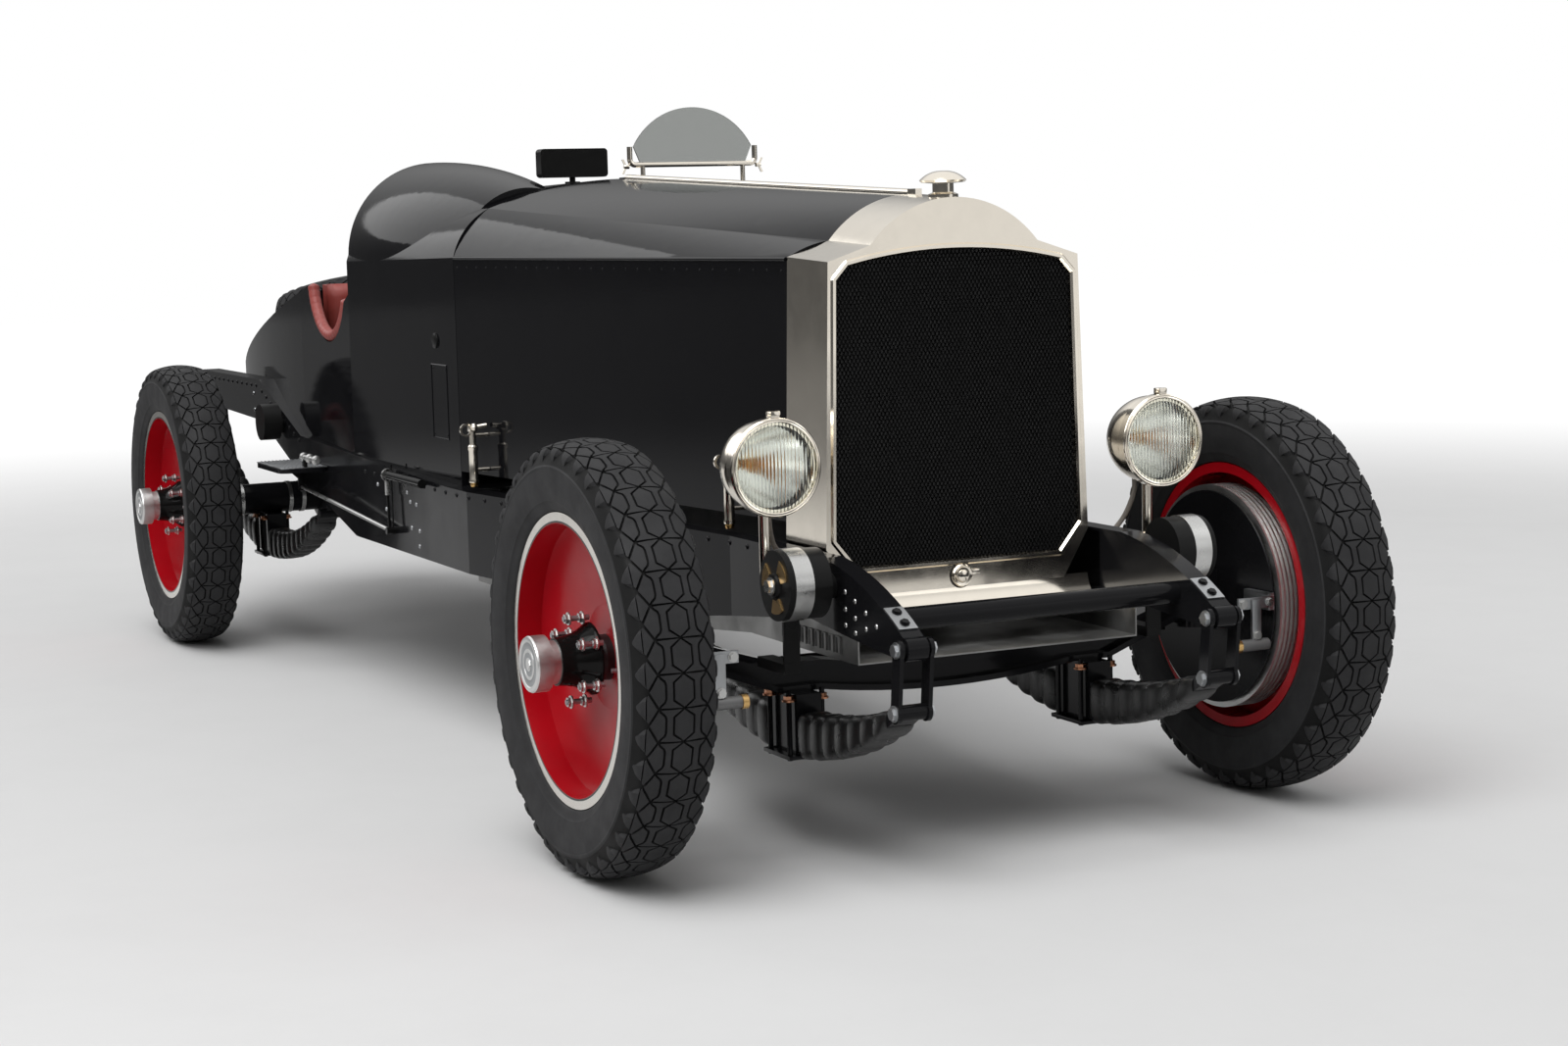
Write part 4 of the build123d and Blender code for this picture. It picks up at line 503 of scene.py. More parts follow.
def bridge(bm, rings, closed_round=True, closed_along=False):
    """Skin a list of vertex rings with quads, or triangles at a pole."""
    pairs = list(zip(rings, rings[1:]))
    if closed_along:
        pairs.append((rings[-1], rings[0]))
    for low, high in pairs:
        count = max(len(low), len(high))
        last = count if closed_round else count - 1
        for i in range(last):
            j = (i + 1) % count
            corners = []
            for vert in (low[i % len(low)], low[j % len(low)], high[j % len(high)], high[i % len(high)]):
                if vert not in corners:
                    corners.append(vert)
            if len(corners) > 2:
                bm.faces.new(corners)


def round_ring(bm, centre, first, second, radius, segments):
    """A circle of vertices in the plane of two unit vectors."""
    turns = [2 * math.pi * k / segments for k in range(segments)]
    return [bm.verts.new(centre + (first * math.cos(t) + second * math.sin(t)) * radius) for t in turns]


def add_lathe(bm, profile, origin, axis, segments=32, closed=False):
    """Turn (along, radius) points about an axis. A radius of 0 makes a pole."""
    axis = axis.normalized()
    first, second = across(axis)
    rings = []
    for along, radius in profile:
        centre = origin + axis * along
        if radius < 1e-7:
            rings.append([bm.verts.new(centre)])
        else:
            rings.append(round_ring(bm, centre, first, second, radius, segments))
    bridge(bm, rings, closed_along=closed)


def close_ends(bm, rings):
    """Skin rings of vertices and cap both ends."""
    bridge(bm, rings)
    bm.faces.new(rings[0])
    bm.faces.new(rings[-1])


def add_tube(bm, points, radius, segments=12):
    """A round bar along points. radius is one number or one for each point."""
    points = [Vector(p) for p in points]
    radii = radius if isinstance(radius, (list, tuple)) else [radius] * len(points)
    rings = []
    first = None
    for index, point in enumerate(points):
        ahead = points[min(index + 1, len(points) - 1)]
        behind = points[max(index - 1, 0)]
        run = (ahead - behind).normalized()
        if first is None:
            first = run.orthogonal().normalized()
        first = (first - run * first.dot(run)).normalized()
        rings.append(round_ring(bm, point, first, run.cross(first), radii[index], segments))
    close_ends(bm, rings)


def add_side_block(bm, side, low, high, bevel=0.0):
    """A block whose corners are given on the left side, or its mirror image on the right."""
    low_y, high_y = sorted((side * low[1], side * high[1]))
    add_block(bm, (low[0], low_y, low[2]), (high[0], high_y, high[2]), bevel)


def add_side_bar(bm, side, start, end, radius, segments=12):
    """A round bar whose ends are given on the left side, or its mirror image on the right."""
    add_tube(bm, [(x, side * y, z) for x, y, z in (start, end)], radius, segments)


def add_block(bm, low, high, bevel=0.0):
    """A block between two corners, with bevelled edges."""
    low = Vector(low)
    high = Vector(high)
    made = bmesh.ops.create_cube(bm, size=1.0)["verts"]
    for vert in made:
        vert.co = Vector([low[k] + (high[k] - low[k]) * (vert.co[k] + 0.5) for k in range(3)])
    if bevel > 0:
        edges = list({edge for vert in made for edge in vert.link_edges})
        bmesh.ops.bevel(bm, geom=edges, offset=bevel, segments=2, affect="EDGES", profile=0.7)


def add_prism(bm, outline, lift):
    """Extrude a closed outline of points by the vector lift."""
    low = [bm.verts.new(p) for p in outline]
    high = [bm.verts.new(Vector(p) + lift) for p in outline]
    bm.faces.new(low)
    bm.faces.new(high)
    bridge(bm, [low, high])


def arc_points(centre, first, second, radius, start, end, count):
    """Points on an arc in the plane of two unit vectors, from angle start to end in degrees."""
    turns = [math.radians(start + (end - start) * k / (count - 1)) for k in range(count)]
    return [centre + first * (radius * math.cos(t)) + second * (radius * math.sin(t)) for t in turns]


# Geometry Nodes helpers
def end_tree(tree, enter, leave, geometry):
    """Close a tree with Realize Instances and Set Material."""
    real = add_node(tree, "GeometryNodeRealizeInstances", {0: geometry})
    dress = add_node(tree, "GeometryNodeSetMaterial", {
        "Geometry": real.outputs[0], "Material": enter["Material"]})
    tree.links.new(dress.outputs[0], leave[0])


# Cylinders of a small part as (corners, share of the radius, share of the height, place in the height)
HEADS = {
    "hex": ((6, 1.0, 1.0, 0.5), (18, 1.3, 0.3, 0.15)),
    "cell": ((6, 1.0, 1.0, 0.5),),
}


def rivet_head(tree, radius):
    """A flattened ball."""
    ball = add_node(tree, "GeometryNodeMeshUVSphere", {"Segments": 10, "Rings": 6, "Radius": radius})
    return add_node(tree, "GeometryNodeTransform", {0: ball.outputs[0], "Scale": (1, 1, 0.55)}).outputs[0]


def cylinder_head(tree, radius, height, fill, corners, wide, tall, lift):
    """One cylinder of a row of HEADS."""
    drum = add_node(tree, "GeometryNodeMeshCylinder", {
        "Vertices": corners, "Radius": calculate(tree, "MULTIPLY", radius, wide),
        "Depth": calculate(tree, "MULTIPLY", height, tall)}, fill_type=fill)
    up = add_node(tree, "ShaderNodeCombineXYZ", {"Z": calculate(tree, "MULTIPLY", height, lift)})
    return add_node(tree, "GeometryNodeTransform", {
        0: drum.outputs[0], "Translation": up.outputs[0]}).outputs[0]


def scatter_tree(kind):
    """Put one small part on each point, turned along its aim attribute."""
    tree, enter, leave = new_tree(
        "GeometryNodeTree", "Scatter " + kind,
        (("Geometry", "g"), ("Radius", "f"), ("Height", "f"), ("Material", "m")), ("Geometry", "g"))
    if kind == "rivet":
        parts = [rivet_head(tree, enter["Radius"])]
    else:
        fill = "NONE" if kind == "cell" else "NGON"
        parts = [cylinder_head(tree, enter["Radius"], enter["Height"], fill, *head) for head in HEADS[kind]]
    join = add_node(tree, "GeometryNodeJoinGeometry")
    for part in reversed(parts):
        tree.links.new(part, join.inputs[0])
    aim = add_node(tree, "GeometryNodeInputNamedAttribute", {"Name": "aim"}, data_type="FLOAT_VECTOR")
    turn = add_node(tree, "FunctionNodeAlignRotationToVector", {"Vector": aim.outputs["Attribute"]}, axis="Z")
    place = add_node(tree, "GeometryNodeInstanceOnPoints", {
        "Points": enter["Geometry"], "Instance": join.outputs[0], "Rotation": turn.outputs[0]})
    end_tree(tree, enter, leave, place.outputs[0])
    return tree


def run_tree(tree, mesh, **inputs):
    """Run a geometry tree on a mesh and return the plain result."""
    holder = place_in_scene(bpy.data.objects.new("holder", mesh))
    modifier = holder.modifiers.new("Build", "NODES")
    modifier.node_group = tree
    for item in tree.interface.items_tree:
        if item.item_type == "SOCKET" and item.in_out == "INPUT" and item.name in inputs:
            modifier[item.identifier] = inputs[item.name]
    view = bpy.context.evaluated_depsgraph_get()
    made = bpy.data.meshes.new_from_object(holder.evaluated_get(view))
    holder.modifiers.remove(modifier)
    bpy.data.objects.remove(holder)
    return made


def scatter(name, kind, places, material, body, radius, height=0.0):
    """Small parts at (point, aim) places, joined into one piece."""
    tree = bpy.data.node_groups.get("Scatter " + kind) or scatter_tree(kind)
    mesh = bpy.data.meshes.new(name + "_points")
    mesh.from_pydata([tuple(point) for point, aim in places], [], [])
    aims = mesh.attributes.new("aim", "FLOAT_VECTOR", "POINT")
    aims.data.foreach_set("vector", [c for point, aim in places for c in aim])
    made = run_tree(tree, mesh, Radius=radius, Height=height, Material=MATERIALS[material])
    made.name = name
    return finish_mesh(name, made, material, body, 40.0)


# Tyres: outer half profile from the crown to the bead as (across, radius)
SECTION = (
    (0.0, 0.4200), (0.010, 0.4197), (0.020, 0.4189), (0.030, 0.4175), (0.040, 0.4156), (0.050, 0.4131),
    (0.058, 0.4107), (0.066, 0.4075), (0.0722, 0.4030), (0.0765, 0.3960), (0.0790, 0.3870),
    (0.0805, 0.3780), (0.0815, 0.3700), (0.0822, 0.3610), (0.0823, 0.3500), (0.0815, 0.3350),
    (0.0792, 0.3200), (0.0755, 0.3060), (0.0715, 0.2960), (0.0690, 0.2900))


def section_point(run, lift):
    """Point at a distance along the half profile, lifted outward from it."""
    side = 1 if run >= 0 else -1
    left = abs(run)
    for (y0, r0), (y1, r1) in zip(SECTION, SECTION[1:]):
        step = math.hypot(y1 - y0, r1 - r0)
        if left <= step:
            share = left / step
            out_y = -(r1 - r0) / step
            out_r = (y1 - y0) / step
            y = y0 + (y1 - y0) * share + out_y * lift
            return side * y, r0 + (r1 - r0) * share + out_r * lift
        left -= step
    return side * SECTION[-1][0], SECTION[-1][1]


def inset(outline, distance):
    """Move each side of a counterclockwise outline inward by a distance."""
    moved = []
    count = len(outline)
    for i in range(count):
        before = Vector(outline[i - 1])
        here = Vector(outline[i])
        after = Vector(outline[(i + 1) % count])
        first = (here - before).normalized()
        second = (after - here).normalized()
        normal_a = Vector((-first.y, first.x))
        normal_b = Vector((-second.y, second.x))
        total = normal_a + normal_b
        moved.append(here + total * (distance / max(total.dot(normal_a), 0.35)))
    return moved


def tread_regions(pitch, link, groove):
    """Outlines of the tread's lands over one pitch: the middle link, then those of the left half."""
    link_line = [(0, 0.0), (0.24 * pitch, link), (0.76 * pitch, link), (pitch, 0.0)]
    loop_line = [
        (share * pitch, reach) for share, reach in (
            (0, 0.0475), (0.10, 0.0430), (0.20, 0.0360), (0.30, 0.0340),
            (0.70, 0.0340), (0.80, 0.0360), (0.90, 0.0430), (1, 0.0475))]
    middle = [(u, -v) for u, v in link_line] + link_line[-2:0:-1]
    band = [*link_line, *reversed(loop_line)]
    loop = [*loop_line, (0.5 * pitch, 0.0660)]
    wedge = [
        (share * pitch, reach) for share, reach in (
            (-0.46, 0.0650), (0, 0.0475), (0.46, 0.0650), (0.38, 0.0712), (-0.38, 0.0712))]
    return [inset(outline, groove / 2) for outline in (middle, band, loop, wedge)]


def land(bm, outline, depth, pitch):
    """One raised land: a flat outline cut along and across, then bent onto the crown."""
    made = bmesh.new()
    face = made.faces.new([made.verts.new((u, v, 0)) for u, v in outline])
    if face.normal.z < 0:
        face.normal_flip()
    for item in bmesh.ops.extrude_face_region(made, geom=[face])["geom"]:
        if isinstance(item, bmesh.types.BMVert):
            item.co.z = depth
    cuts = [(Vector((0, k * 0.012, 0)), Y_AXIS) for k in range(-6, 7)]
    cuts += [(Vector((k * pitch / 4, 0, 0)), X_AXIS) for k in range(-2, 5)]
    for place, normal in cuts:
        geometry = made.verts[:] + made.edges[:] + made.faces[:]
        bmesh.ops.bisect_plane(made, geom=geometry, plane_co=place, plane_no=normal)
    bmesh.ops.triangulate(made, faces=[f for f in made.faces if len(f.verts) > 4])
    table = {}
    for vert in made.verts:
        y, r = section_point(vert.co.y, vert.co.z - depth)
        angle = vert.co.x / TYRE_RADIUS
        table[vert.index] = bm.verts.new((r * math.sin(angle), y, r * math.cos(angle)))
    for f in made.faces:
        bm.faces.new([table[vert.index] for vert in f.verts])
    made.free()


def buttress(bm, depth, pitch, side):
    """One wedge that runs from the tread's edge down the shoulder and sinks into the side."""
    rows = ((0.0712, 0.38, 0.0000), (0.0790, 0.33, 0.0000), (0.0880, 0.23, -0.0008), (0.0990, 0.09, -0.0030))
    rings = []
    for run, wide, lift in rows:
        ring = []
        across_row = (
            (-1, -depth), (-0.66, lift - 0.0008), (0, lift + 0.0003), (0.66, lift - 0.0008), (1, -depth))
        for share, height in across_row:
            y, r = section_point(side * run, height)
            angle = share * wide * pitch / TYRE_RADIUS
            ring.append(bm.verts.new((r * math.sin(angle), y, r * math.cos(angle))))
        rings.append(ring)
    bridge(bm, rings, closed_round=False)
    bm.faces.new(rings[0])
    bm.faces.new(rings[-1])


def tread_tile(settings):
    """All lands of one pitch on both sides of the tread."""
    pitch = 2 * math.pi * TYRE_RADIUS / settings.pitches
    bm = bmesh.new()
    link, *others = tread_regions(pitch, settings.link_half, settings.groove)
    land(bm, link, settings.depth, pitch)
    for outline in others:
        land(bm, outline, settings.depth, pitch)
        land(bm, [(u, -v) for u, v in reversed(outline)], settings.depth, pitch)
    for side in BOTH:
        buttress(bm, settings.depth, pitch, side)
    bmesh.ops.remove_doubles(bm, verts=bm.verts, dist=1e-6)
    return to_mesh("tread_tile", bm)


def tread_tree():
    """Repeat the tile round the axle, one turn for each pitch."""
    tree, enter, leave = new_tree(
        "GeometryNodeTree", "Tread ring", (("Geometry", "g"), ("Count", "i"), ("Material", "m")),
        ("Geometry", "g"))
    points = add_node(tree, "GeometryNodePoints", {"Count": enter["Count"]})
    index = add_node(tree, "GeometryNodeInputIndex")
    share = calculate(tree, "DIVIDE", index.outputs[0], enter["Count"])
    turn = add_node(tree, "ShaderNodeCombineXYZ", {"Y": calculate(tree, "MULTIPLY", share, 2 * math.pi)})
    place = add_node(tree, "GeometryNodeInstanceOnPoints", {
        "Points": points.outputs[0], "Instance": enter["Geometry"], "Rotation": turn.outputs[0]})
    end_tree(tree, enter, leave, place.outputs[0])
    return tree


# Half profile of the carcass as (across, radius): below the tread, down the side, round the bead and inside
SHOULDER = [(0.0690, 0.3955), (0.0728, 0.3880), (0.0768, 0.3792), (0.0802, 0.3735), (0.0813, 0.3715)]
SIDE_RINGS = [
    (0.0822, 0.3705), (0.0824, 0.3685), (0.0822, 0.3665), (0.0816, 0.3655), (0.0819, 0.3580),
    (0.0818, 0.3480), (0.0810, 0.3350), (0.0788, 0.3200), (0.0755, 0.3075), (0.0752, 0.3050),
    (0.0738, 0.3035), (0.0715, 0.2985), (0.0690, 0.2925), (0.0672, 0.2880)]
BEAD_INSIDE = [
    (0.0655, 0.2860), (0.0640, 0.2850), (0.0560, 0.2860), (0.0640, 0.3050), (0.0720, 0.3350),
    (0.0730, 0.3650), (0.0660, 0.3890), (0.0400, 0.4000), (0.0, 0.4030)]


def tyre_mesh(settings):
    """A whole tyre about the Y axis: tread lands over a turned carcass with raised rings."""
    lands = run_tree(
        tread_tree(), tread_tile(settings), Count=settings.pitches, Material=MATERIALS["tyre"])
    bm = bmesh.new()
    bm.from_mesh(lands)
    crown = [section_point(0.008 * k, -settings.depth) for k in range(10)]
    half = crown + SHOULDER + SIDE_RINGS + BEAD_INSIDE
    profile = half + [(-y, r) for y, r in reversed(half[1:-1])]
    add_lathe(bm, profile, Vector(), Y_AXIS, 126, closed=True)
    mesh = to_mesh("tyre", bm)
    # The groove attribute marks the faces that the rubber darkens as painted shade.
    deep = mesh.attributes.new("groove", "FLOAT", "FACE")
    deep.data.foreach_set("value", [groove_shade_mask(face, settings.depth) for face in mesh.polygons])
    return mesh


def groove_shade_mask(face, depth):
    """Painted shade mask: 1 for the floor of a tread groove or a notch of the shoulder, 0 for everything
    else.
    """
    centre = face.center
    radius = math.hypot(centre.x, centre.z)
    wide = abs(centre.y)
    if wide < 0.067:
        crown = TYRE_RADIUS - 0.012 * (wide / 0.066) ** 2
        return 1.0 if 0.390 < radius < crown - 0.7 * depth else 0.0
    floor = 0.0690 + (0.3955 - radius) * 0.48
    return 1.0 if 0.3760 < radius < 0.4010 and wide < floor + 0.0012 else 0.0


class SPEEDSTER_OT_tyres(bpy.types.Operator):
    """Put treaded tyres in place of the plain ones"""

    bl_idname = "speedster.tyres"
    bl_label = "Tyres"

    def execute(self, context):
        base = tyre_mesh(context.scene.speedster_tyre)
        for end in ENDS:
            for hand in HANDS:
                mesh = base.copy()
                mesh.transform(Matrix.Translation(wheel_centre(end, hand)))
                piece = finish_mesh(f"tread_{end}_{hand}", mesh, "tyre", f"wheel_{end}_{hand}", 32.0)
                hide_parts(f"tyre_{end}_{hand}")
        spare = spare_mesh(base.copy())
        piece = finish_mesh("tread_spare", spare, "tyre", "chassis", 32.0)
        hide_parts("spare_tyre")
        return {"FINISHED"}


def spare_mesh(mesh):
    """Lay a tyre flat on the tail deck, at the spare's place and slope."""
    low, high = node_box("spare_tyre")
    flat = Matrix.Rotation(math.radians(90), 4, "X")
    mesh.transform(Matrix.Translation((low + high) / 2) @ deck_slope() @ flat)
    return mesh


def deck_slope():
    """Slope of the tail deck about the Y axis, from the spare wheel's own mesh."""
    mesh = bpy.data.objects["spare_disc"].data
    area = Vector()
    for face in mesh.polygons:
        if face.normal.z > 0.5:
            area += face.normal * face.area
    area.normalize()
    return Matrix.Rotation(math.atan2(area.x, area.z), 4, "Y")


# Finishes of the CAD nodes
NODE_FINISHES = (
    ("body", ("body_tub", "cowl", "tail_deck", "hood_top_left", "hood_top_right", "hood_side_left",
              "hood_side_right")),
    ("chassis", ("frame_rails", "frame_crossmembers", "front_axle", "rear_axle", "knuckle_left",
                 "knuckle_right", "leaf_springs", "tie_rod")),
    ("nickel", ("radiator_shell", "windscreen_frame", "headlamps", "hood_rod", "hood_latches_left",
                "hood_latches_right")),
    ("leather", ("seat_cushion", "seat_back", "cockpit_roll")),
    ("core", ("radiator_core",)),
    ("alloy", ("belly_pan",)),
    ("iron", ("engine_block",)),
    ("trim", ("mirror", "steering_column", "shock_absorbers")),
    ("wood", ("steering_wheel",)),
    ("lens", ("headlamp_lenses",)),
    ("screen", ("windscreen_glass",)),
    ("tyre", ("spare_tyre",)),
)


class SPEEDSTER_OT_finishes(bpy.types.Operator):
    """Give every CAD piece its finish"""

    bl_idname = "speedster.finishes"
    bl_label = "Finishes"

    def execute(self, context):
        make_materials()
        for key, names in NODE_FINISHES:
            for name in names:
                dress_node(name, MATERIALS[key])
        for end in ENDS:
            for hand, side in SIDES:
                centre = wheel_centre(end, hand)
                label = f"{end} {hand}"
                dress_node(f"tyre_{end}_{hand}", MATERIALS["tyre"])
                dress_node(f"disc_{end}_{hand}", wheel_paint("Wheel red " + label, centre))
                dress_node(f"hub_{end}_{hand}", hub_finish("Hub " + label, centre, side))
        dress_node("spare_disc", MATERIALS["body"])
        return {"FINISHED"}


def dress_node(name, material):
    """Give a CAD node one material."""
    mesh = bpy.data.objects[name].data
    mesh.materials.clear()
    mesh.materials.append(material)


# Radiator
CELLS_LOW = 0.560
CELLS_HIGH = 1.184


def core_reach(z):
    """Half-width of the cells at a height, a little behind the opening's edge."""
    if z < 0.617:
        return 0.235 + 0.046 * (z - 0.561) / 0.056
    if z < 1.120:
        return 0.279 - 0.012 * (z - 0.617) / 0.503
    if z < 1.147:
        return 0.267 - 0.025 * (z - 1.120) / 0.027
    return 0.243 * math.sqrt(max(1 - ((z - 1.147) / 0.035) ** 2, 0))


class SPEEDSTER_OT_radiator(bpy.types.Operator):
    """Fill the radiator opening with deep hexagonal cells"""

    bl_idname = "speedster.radiator"
    bl_label = "Radiator cells"

    def execute(self, context):
        cell = context.scene.speedster_fittings.cell
        face_x = node_box("radiator_core")[1].x
        places = []
        row_step = cell * math.sqrt(3) / 2
        for row in range(int((CELLS_HIGH - CELLS_LOW) / row_step)):
            z = CELLS_LOW + row * row_step
            shift = cell / 2 if row % 2 else 0.0
            for k in range(-34, 35):
                y = k * cell + shift
                if abs(y) < core_reach(z):
                    places.append(((face_x, y, z), X_AXIS))
        scatter("radiator_cells", "cell", places, "core", "chassis", cell / math.sqrt(3) * 0.94, 0.0045)
        return {"FINISHED"}


# Hood and cowl
def rivet_row(start, end, step, aim):
    """Evenly spaced (point, aim) places on a straight line."""
    start = Vector(start)
    end = Vector(end)
    count = max(int((end - start).length / step), 1)
    return [(start.lerp(end, k / count), Vector(aim)) for k in range(count + 1)]


LATCH_FOOT = 0.618  # height above the ground


class SPEEDSTER_OT_hood(bpy.types.Operator):
    """Rivets of the hood's sides, and sleeves and feet of its latches"""

    bl_idname = "speedster.hood"
    bl_label = "Hood fittings"

    def execute(self, context):
        rivet = context.scene.speedster_fittings.rivet
        for hand, side in SIDES:
            low, high = node_box(f"hood_side_{hand}")
            front_y = surface_y(f"hood_side_{hand}", high.x - 0.02, 1.0, side)
            rear_y = surface_y(f"hood_side_{hand}", low.x + 0.02, 1.0, side)
            slope = (rear_y - front_y) / (high.x - low.x - 0.04)
            aim = Vector((abs(slope), side, 0)).normalized()
            z = high.z - 0.026
            start = Vector((high.x - 0.02, front_y, z))
            end = Vector((low.x + 0.02, rear_y, z))
            rows = rivet_row(start, end, 0.052, aim)
            scatter(f"hood_side_rivets_{hand}", "rivet", rows, "body", f"hood_side_{hand}_body", rivet)
            self.latch_sleeves(hand, side)
        return {"FINISHED"}

    def latch_sleeves(self, hand, side):
        """Sleeve, collars, hook and brass foot of both spring latches of a side."""
        sleeves = bmesh.new()
        feet = bmesh.new()
        for x in LATCH_X:
            foot = Vector((x, LATCH_Y[x] * side, LATCH_FOOT))
            add_lathe(
                sleeves, [
                    (0.004, 0.0), (0.004, 0.0120), (0.010, 0.0125), (0.014, 0.0110), (0.080, 0.0108),
                    (0.084, 0.0124), (0.092, 0.0124), (0.096, 0.0086), (0.096, 0.0)], foot, Z_AXIS, 24)
            top = foot + Vector((0, 0, 0.128))
            head = (top + Vector((-0.011, -0.010, 0.0)), top + Vector((0.011, 0.010, 0.016)))
            add_block(sleeves, *head, 0.003)
            knob = [(-0.010, 0.0), (-0.008, 0.006), (0.0, 0.009), (0.008, 0.006), (0.010, 0.0)]
            add_lathe(sleeves, knob, top + Vector((0.014, 0, 0.012)), Z_AXIS, 16)
            hook = [top + Vector((0, 0, 0.010)), top + Vector((0.006, -side * 0.034, 0.014))]
            add_tube(sleeves, hook, 0.0055, 12)
            foot_ring = [(-0.006, 0.0), (-0.006, 0.0085), (0.000, 0.0100), (0.004, 0.0085), (0.004, 0.0)]
            add_lathe(feet, foot_ring, foot, Z_AXIS, 20)
        new_piece(f"latch_sleeves_{hand}", sleeves, "nickel", f"hood_side_{hand}_body")
        new_piece(f"latch_feet_{hand}", feet, "brass", f"hood_side_{hand}_body")


def surface_hit(name, start, way):
    """Place and normal where a ray first meets a node, or None."""
    found, place, normal = bpy.data.objects[name].ray_cast(Vector(start), Vector(way))[:3]
    return (place, normal) if found else None


def surface_y(name, x, z, side):
    """Outer y of a node's surface at x and z."""
    found = surface_hit(name, (x, side * 2.0, z), (0, -side, 0))
    if found is None:
        raise RuntimeError(f"no surface of {name} at x {x:.3f}, z {z:.3f}")
    return found[0].y


def surface_z(name, x, y):
    """Highest place of a node's surface at x and y, with its normal."""
    found = surface_hit(name, (x, y, 3.0), (0, 0, -1))
    if found is None:
        raise RuntimeError(f"no surface of {name} at x {x:.3f}, y {y:.3f}")
    return found


# Wheels
STUD_CIRCLE = 0.080
STUD_FOOT = 0.014  # outboard of the wheel's middle


def studs(end, hand, side):
    """Long studs with their nuts round a hub, and the valve in the rim."""
    centre = wheel_centre(end, hand)
    out = Vector((0, side, 0))
    bm = bmesh.new()
    places = []
    for k in range(6):
        turn = math.radians(60 * k + 30)
        arm = Vector((math.cos(turn), 0, math.sin(turn))) * STUD_CIRCLE
        foot = centre + arm + out * STUD_FOOT
        add_tube(bm, [foot, foot + out * 0.052], 0.0055, 10)
        places.append((foot + out * 0.012, out))
        places.append((foot + out * 0.040, out))
    valve = centre + Vector((0.236, 0, 0.012)) + out * 0.006
    stem = [valve, valve + Vector((-0.012, side * 0.030, 0)), valve + Vector((-0.016, side * 0.052, 0))]
    add_tube(bm, stem, [0.004, 0.004, 0.0045], 10)
    new_piece(f"studs_{end}_{hand}", bm, "zinc", f"wheel_{end}_{hand}")
    scatter(f"stud_nuts_{end}_{hand}", "hex", places, "steel", f"wheel_{end}_{hand}", 0.0098, 0.009)


def hub_cap_rings(end, hand, side):
    """Raised rim, recessed face and centre nut of the hub cap, and the flared black barrel; the recessed face
    and the middle under the nut are in darker grey as painted shade.
    """
    low, high = node_box(f"hub_{end}_{hand}")
    centre = wheel_centre(end, hand)
    body = f"wheel_{end}_{hand}"
    tip = abs((high.y if side > 0 else low.y) - centre.y)
    out = Vector((0, side, 0))
    face = centre + out * (tip - 0.0018)
    rim = bmesh.new()
    outer = [
        (0.0, 0.0530), (0.0025, 0.0520), (0.0032, 0.0500), (0.0032, 0.0440), (0.0020, 0.0425), (0.0, 0.0420)]
    add_lathe(rim, outer, face, out, 56, closed=True)
    inner = [(0.0, 0.0300), (0.0026, 0.0295), (0.0026, 0.0240), (0.0, 0.0235)]
    add_lathe(rim, inner, face, out, 48, closed=True)
    new_piece(f"cap_rim_{end}_{hand}", rim, "cap", body)
    # Painted shade: the recess ring and the middle under the nut are in darker grey plated steel so that they
    # look sunk.
    dark = bmesh.new()
    recess = [(0.0019, 0.0420), (0.0022, 0.0410), (0.0022, 0.0310), (0.0019, 0.0300)]
    add_lathe(dark, recess, face, out, 48, True)
    add_lathe(dark, [(0.0, 0.0235), (0.0021, 0.0230), (0.0021, 0.0)], face, out, 40)
    new_piece(f"cap_recess_shade_{end}_{hand}", dark, "zinc", body)
    scatter(f"cap_nut_{end}_{hand}", "hex", [(face + out * 0.0021, out)], "cap", body, 0.0100, 0.0022)
    barrel = [
        (0.0120, 0.0430), (0.0120, 0.0700), (0.0165, 0.0695), (0.0200, 0.0665), (0.0280, 0.0610),
        (0.0380, 0.0555), (0.0520, 0.0505), (0.0680, 0.0472), (0.0820, 0.0460), (CAP_START, 0.0455),
        (CAP_START, 0.0430)]
    turned(f"hub_barrel_{end}_{hand}", barrel, centre, out, "gloss", body, 56, True, 50)


class SPEEDSTER_OT_wheels(bpy.types.Operator):
    """Studs, nuts, valves and hub-cap faces of the four wheels"""

    bl_idname = "speedster.wheels"
    bl_label = "Wheel fittings"

    def execute(self, context):
        for end in ENDS:
            for hand, side in SIDES:
                studs(end, hand, side)
                hub_cap_rings(end, hand, side)
        return {"FINISHED"}


# Springs
def circle_height(x, first, middle, last):
    """Height at x of the arc through three (x, z) points."""
    (x1, z1), (x3, z3) = first, last
    if abs(4 * signed_area(first, middle, last)) < 1e-9:
        return z1 + (z3 - z1) * (x - x1) / (x3 - x1)
    (cx, cz), radius = circle_through(first, middle, last)
    side = 1 if middle[1] > cz else -1
    return cz + side * math.sqrt(max(radius * radius - (x - cx) ** 2, 0))


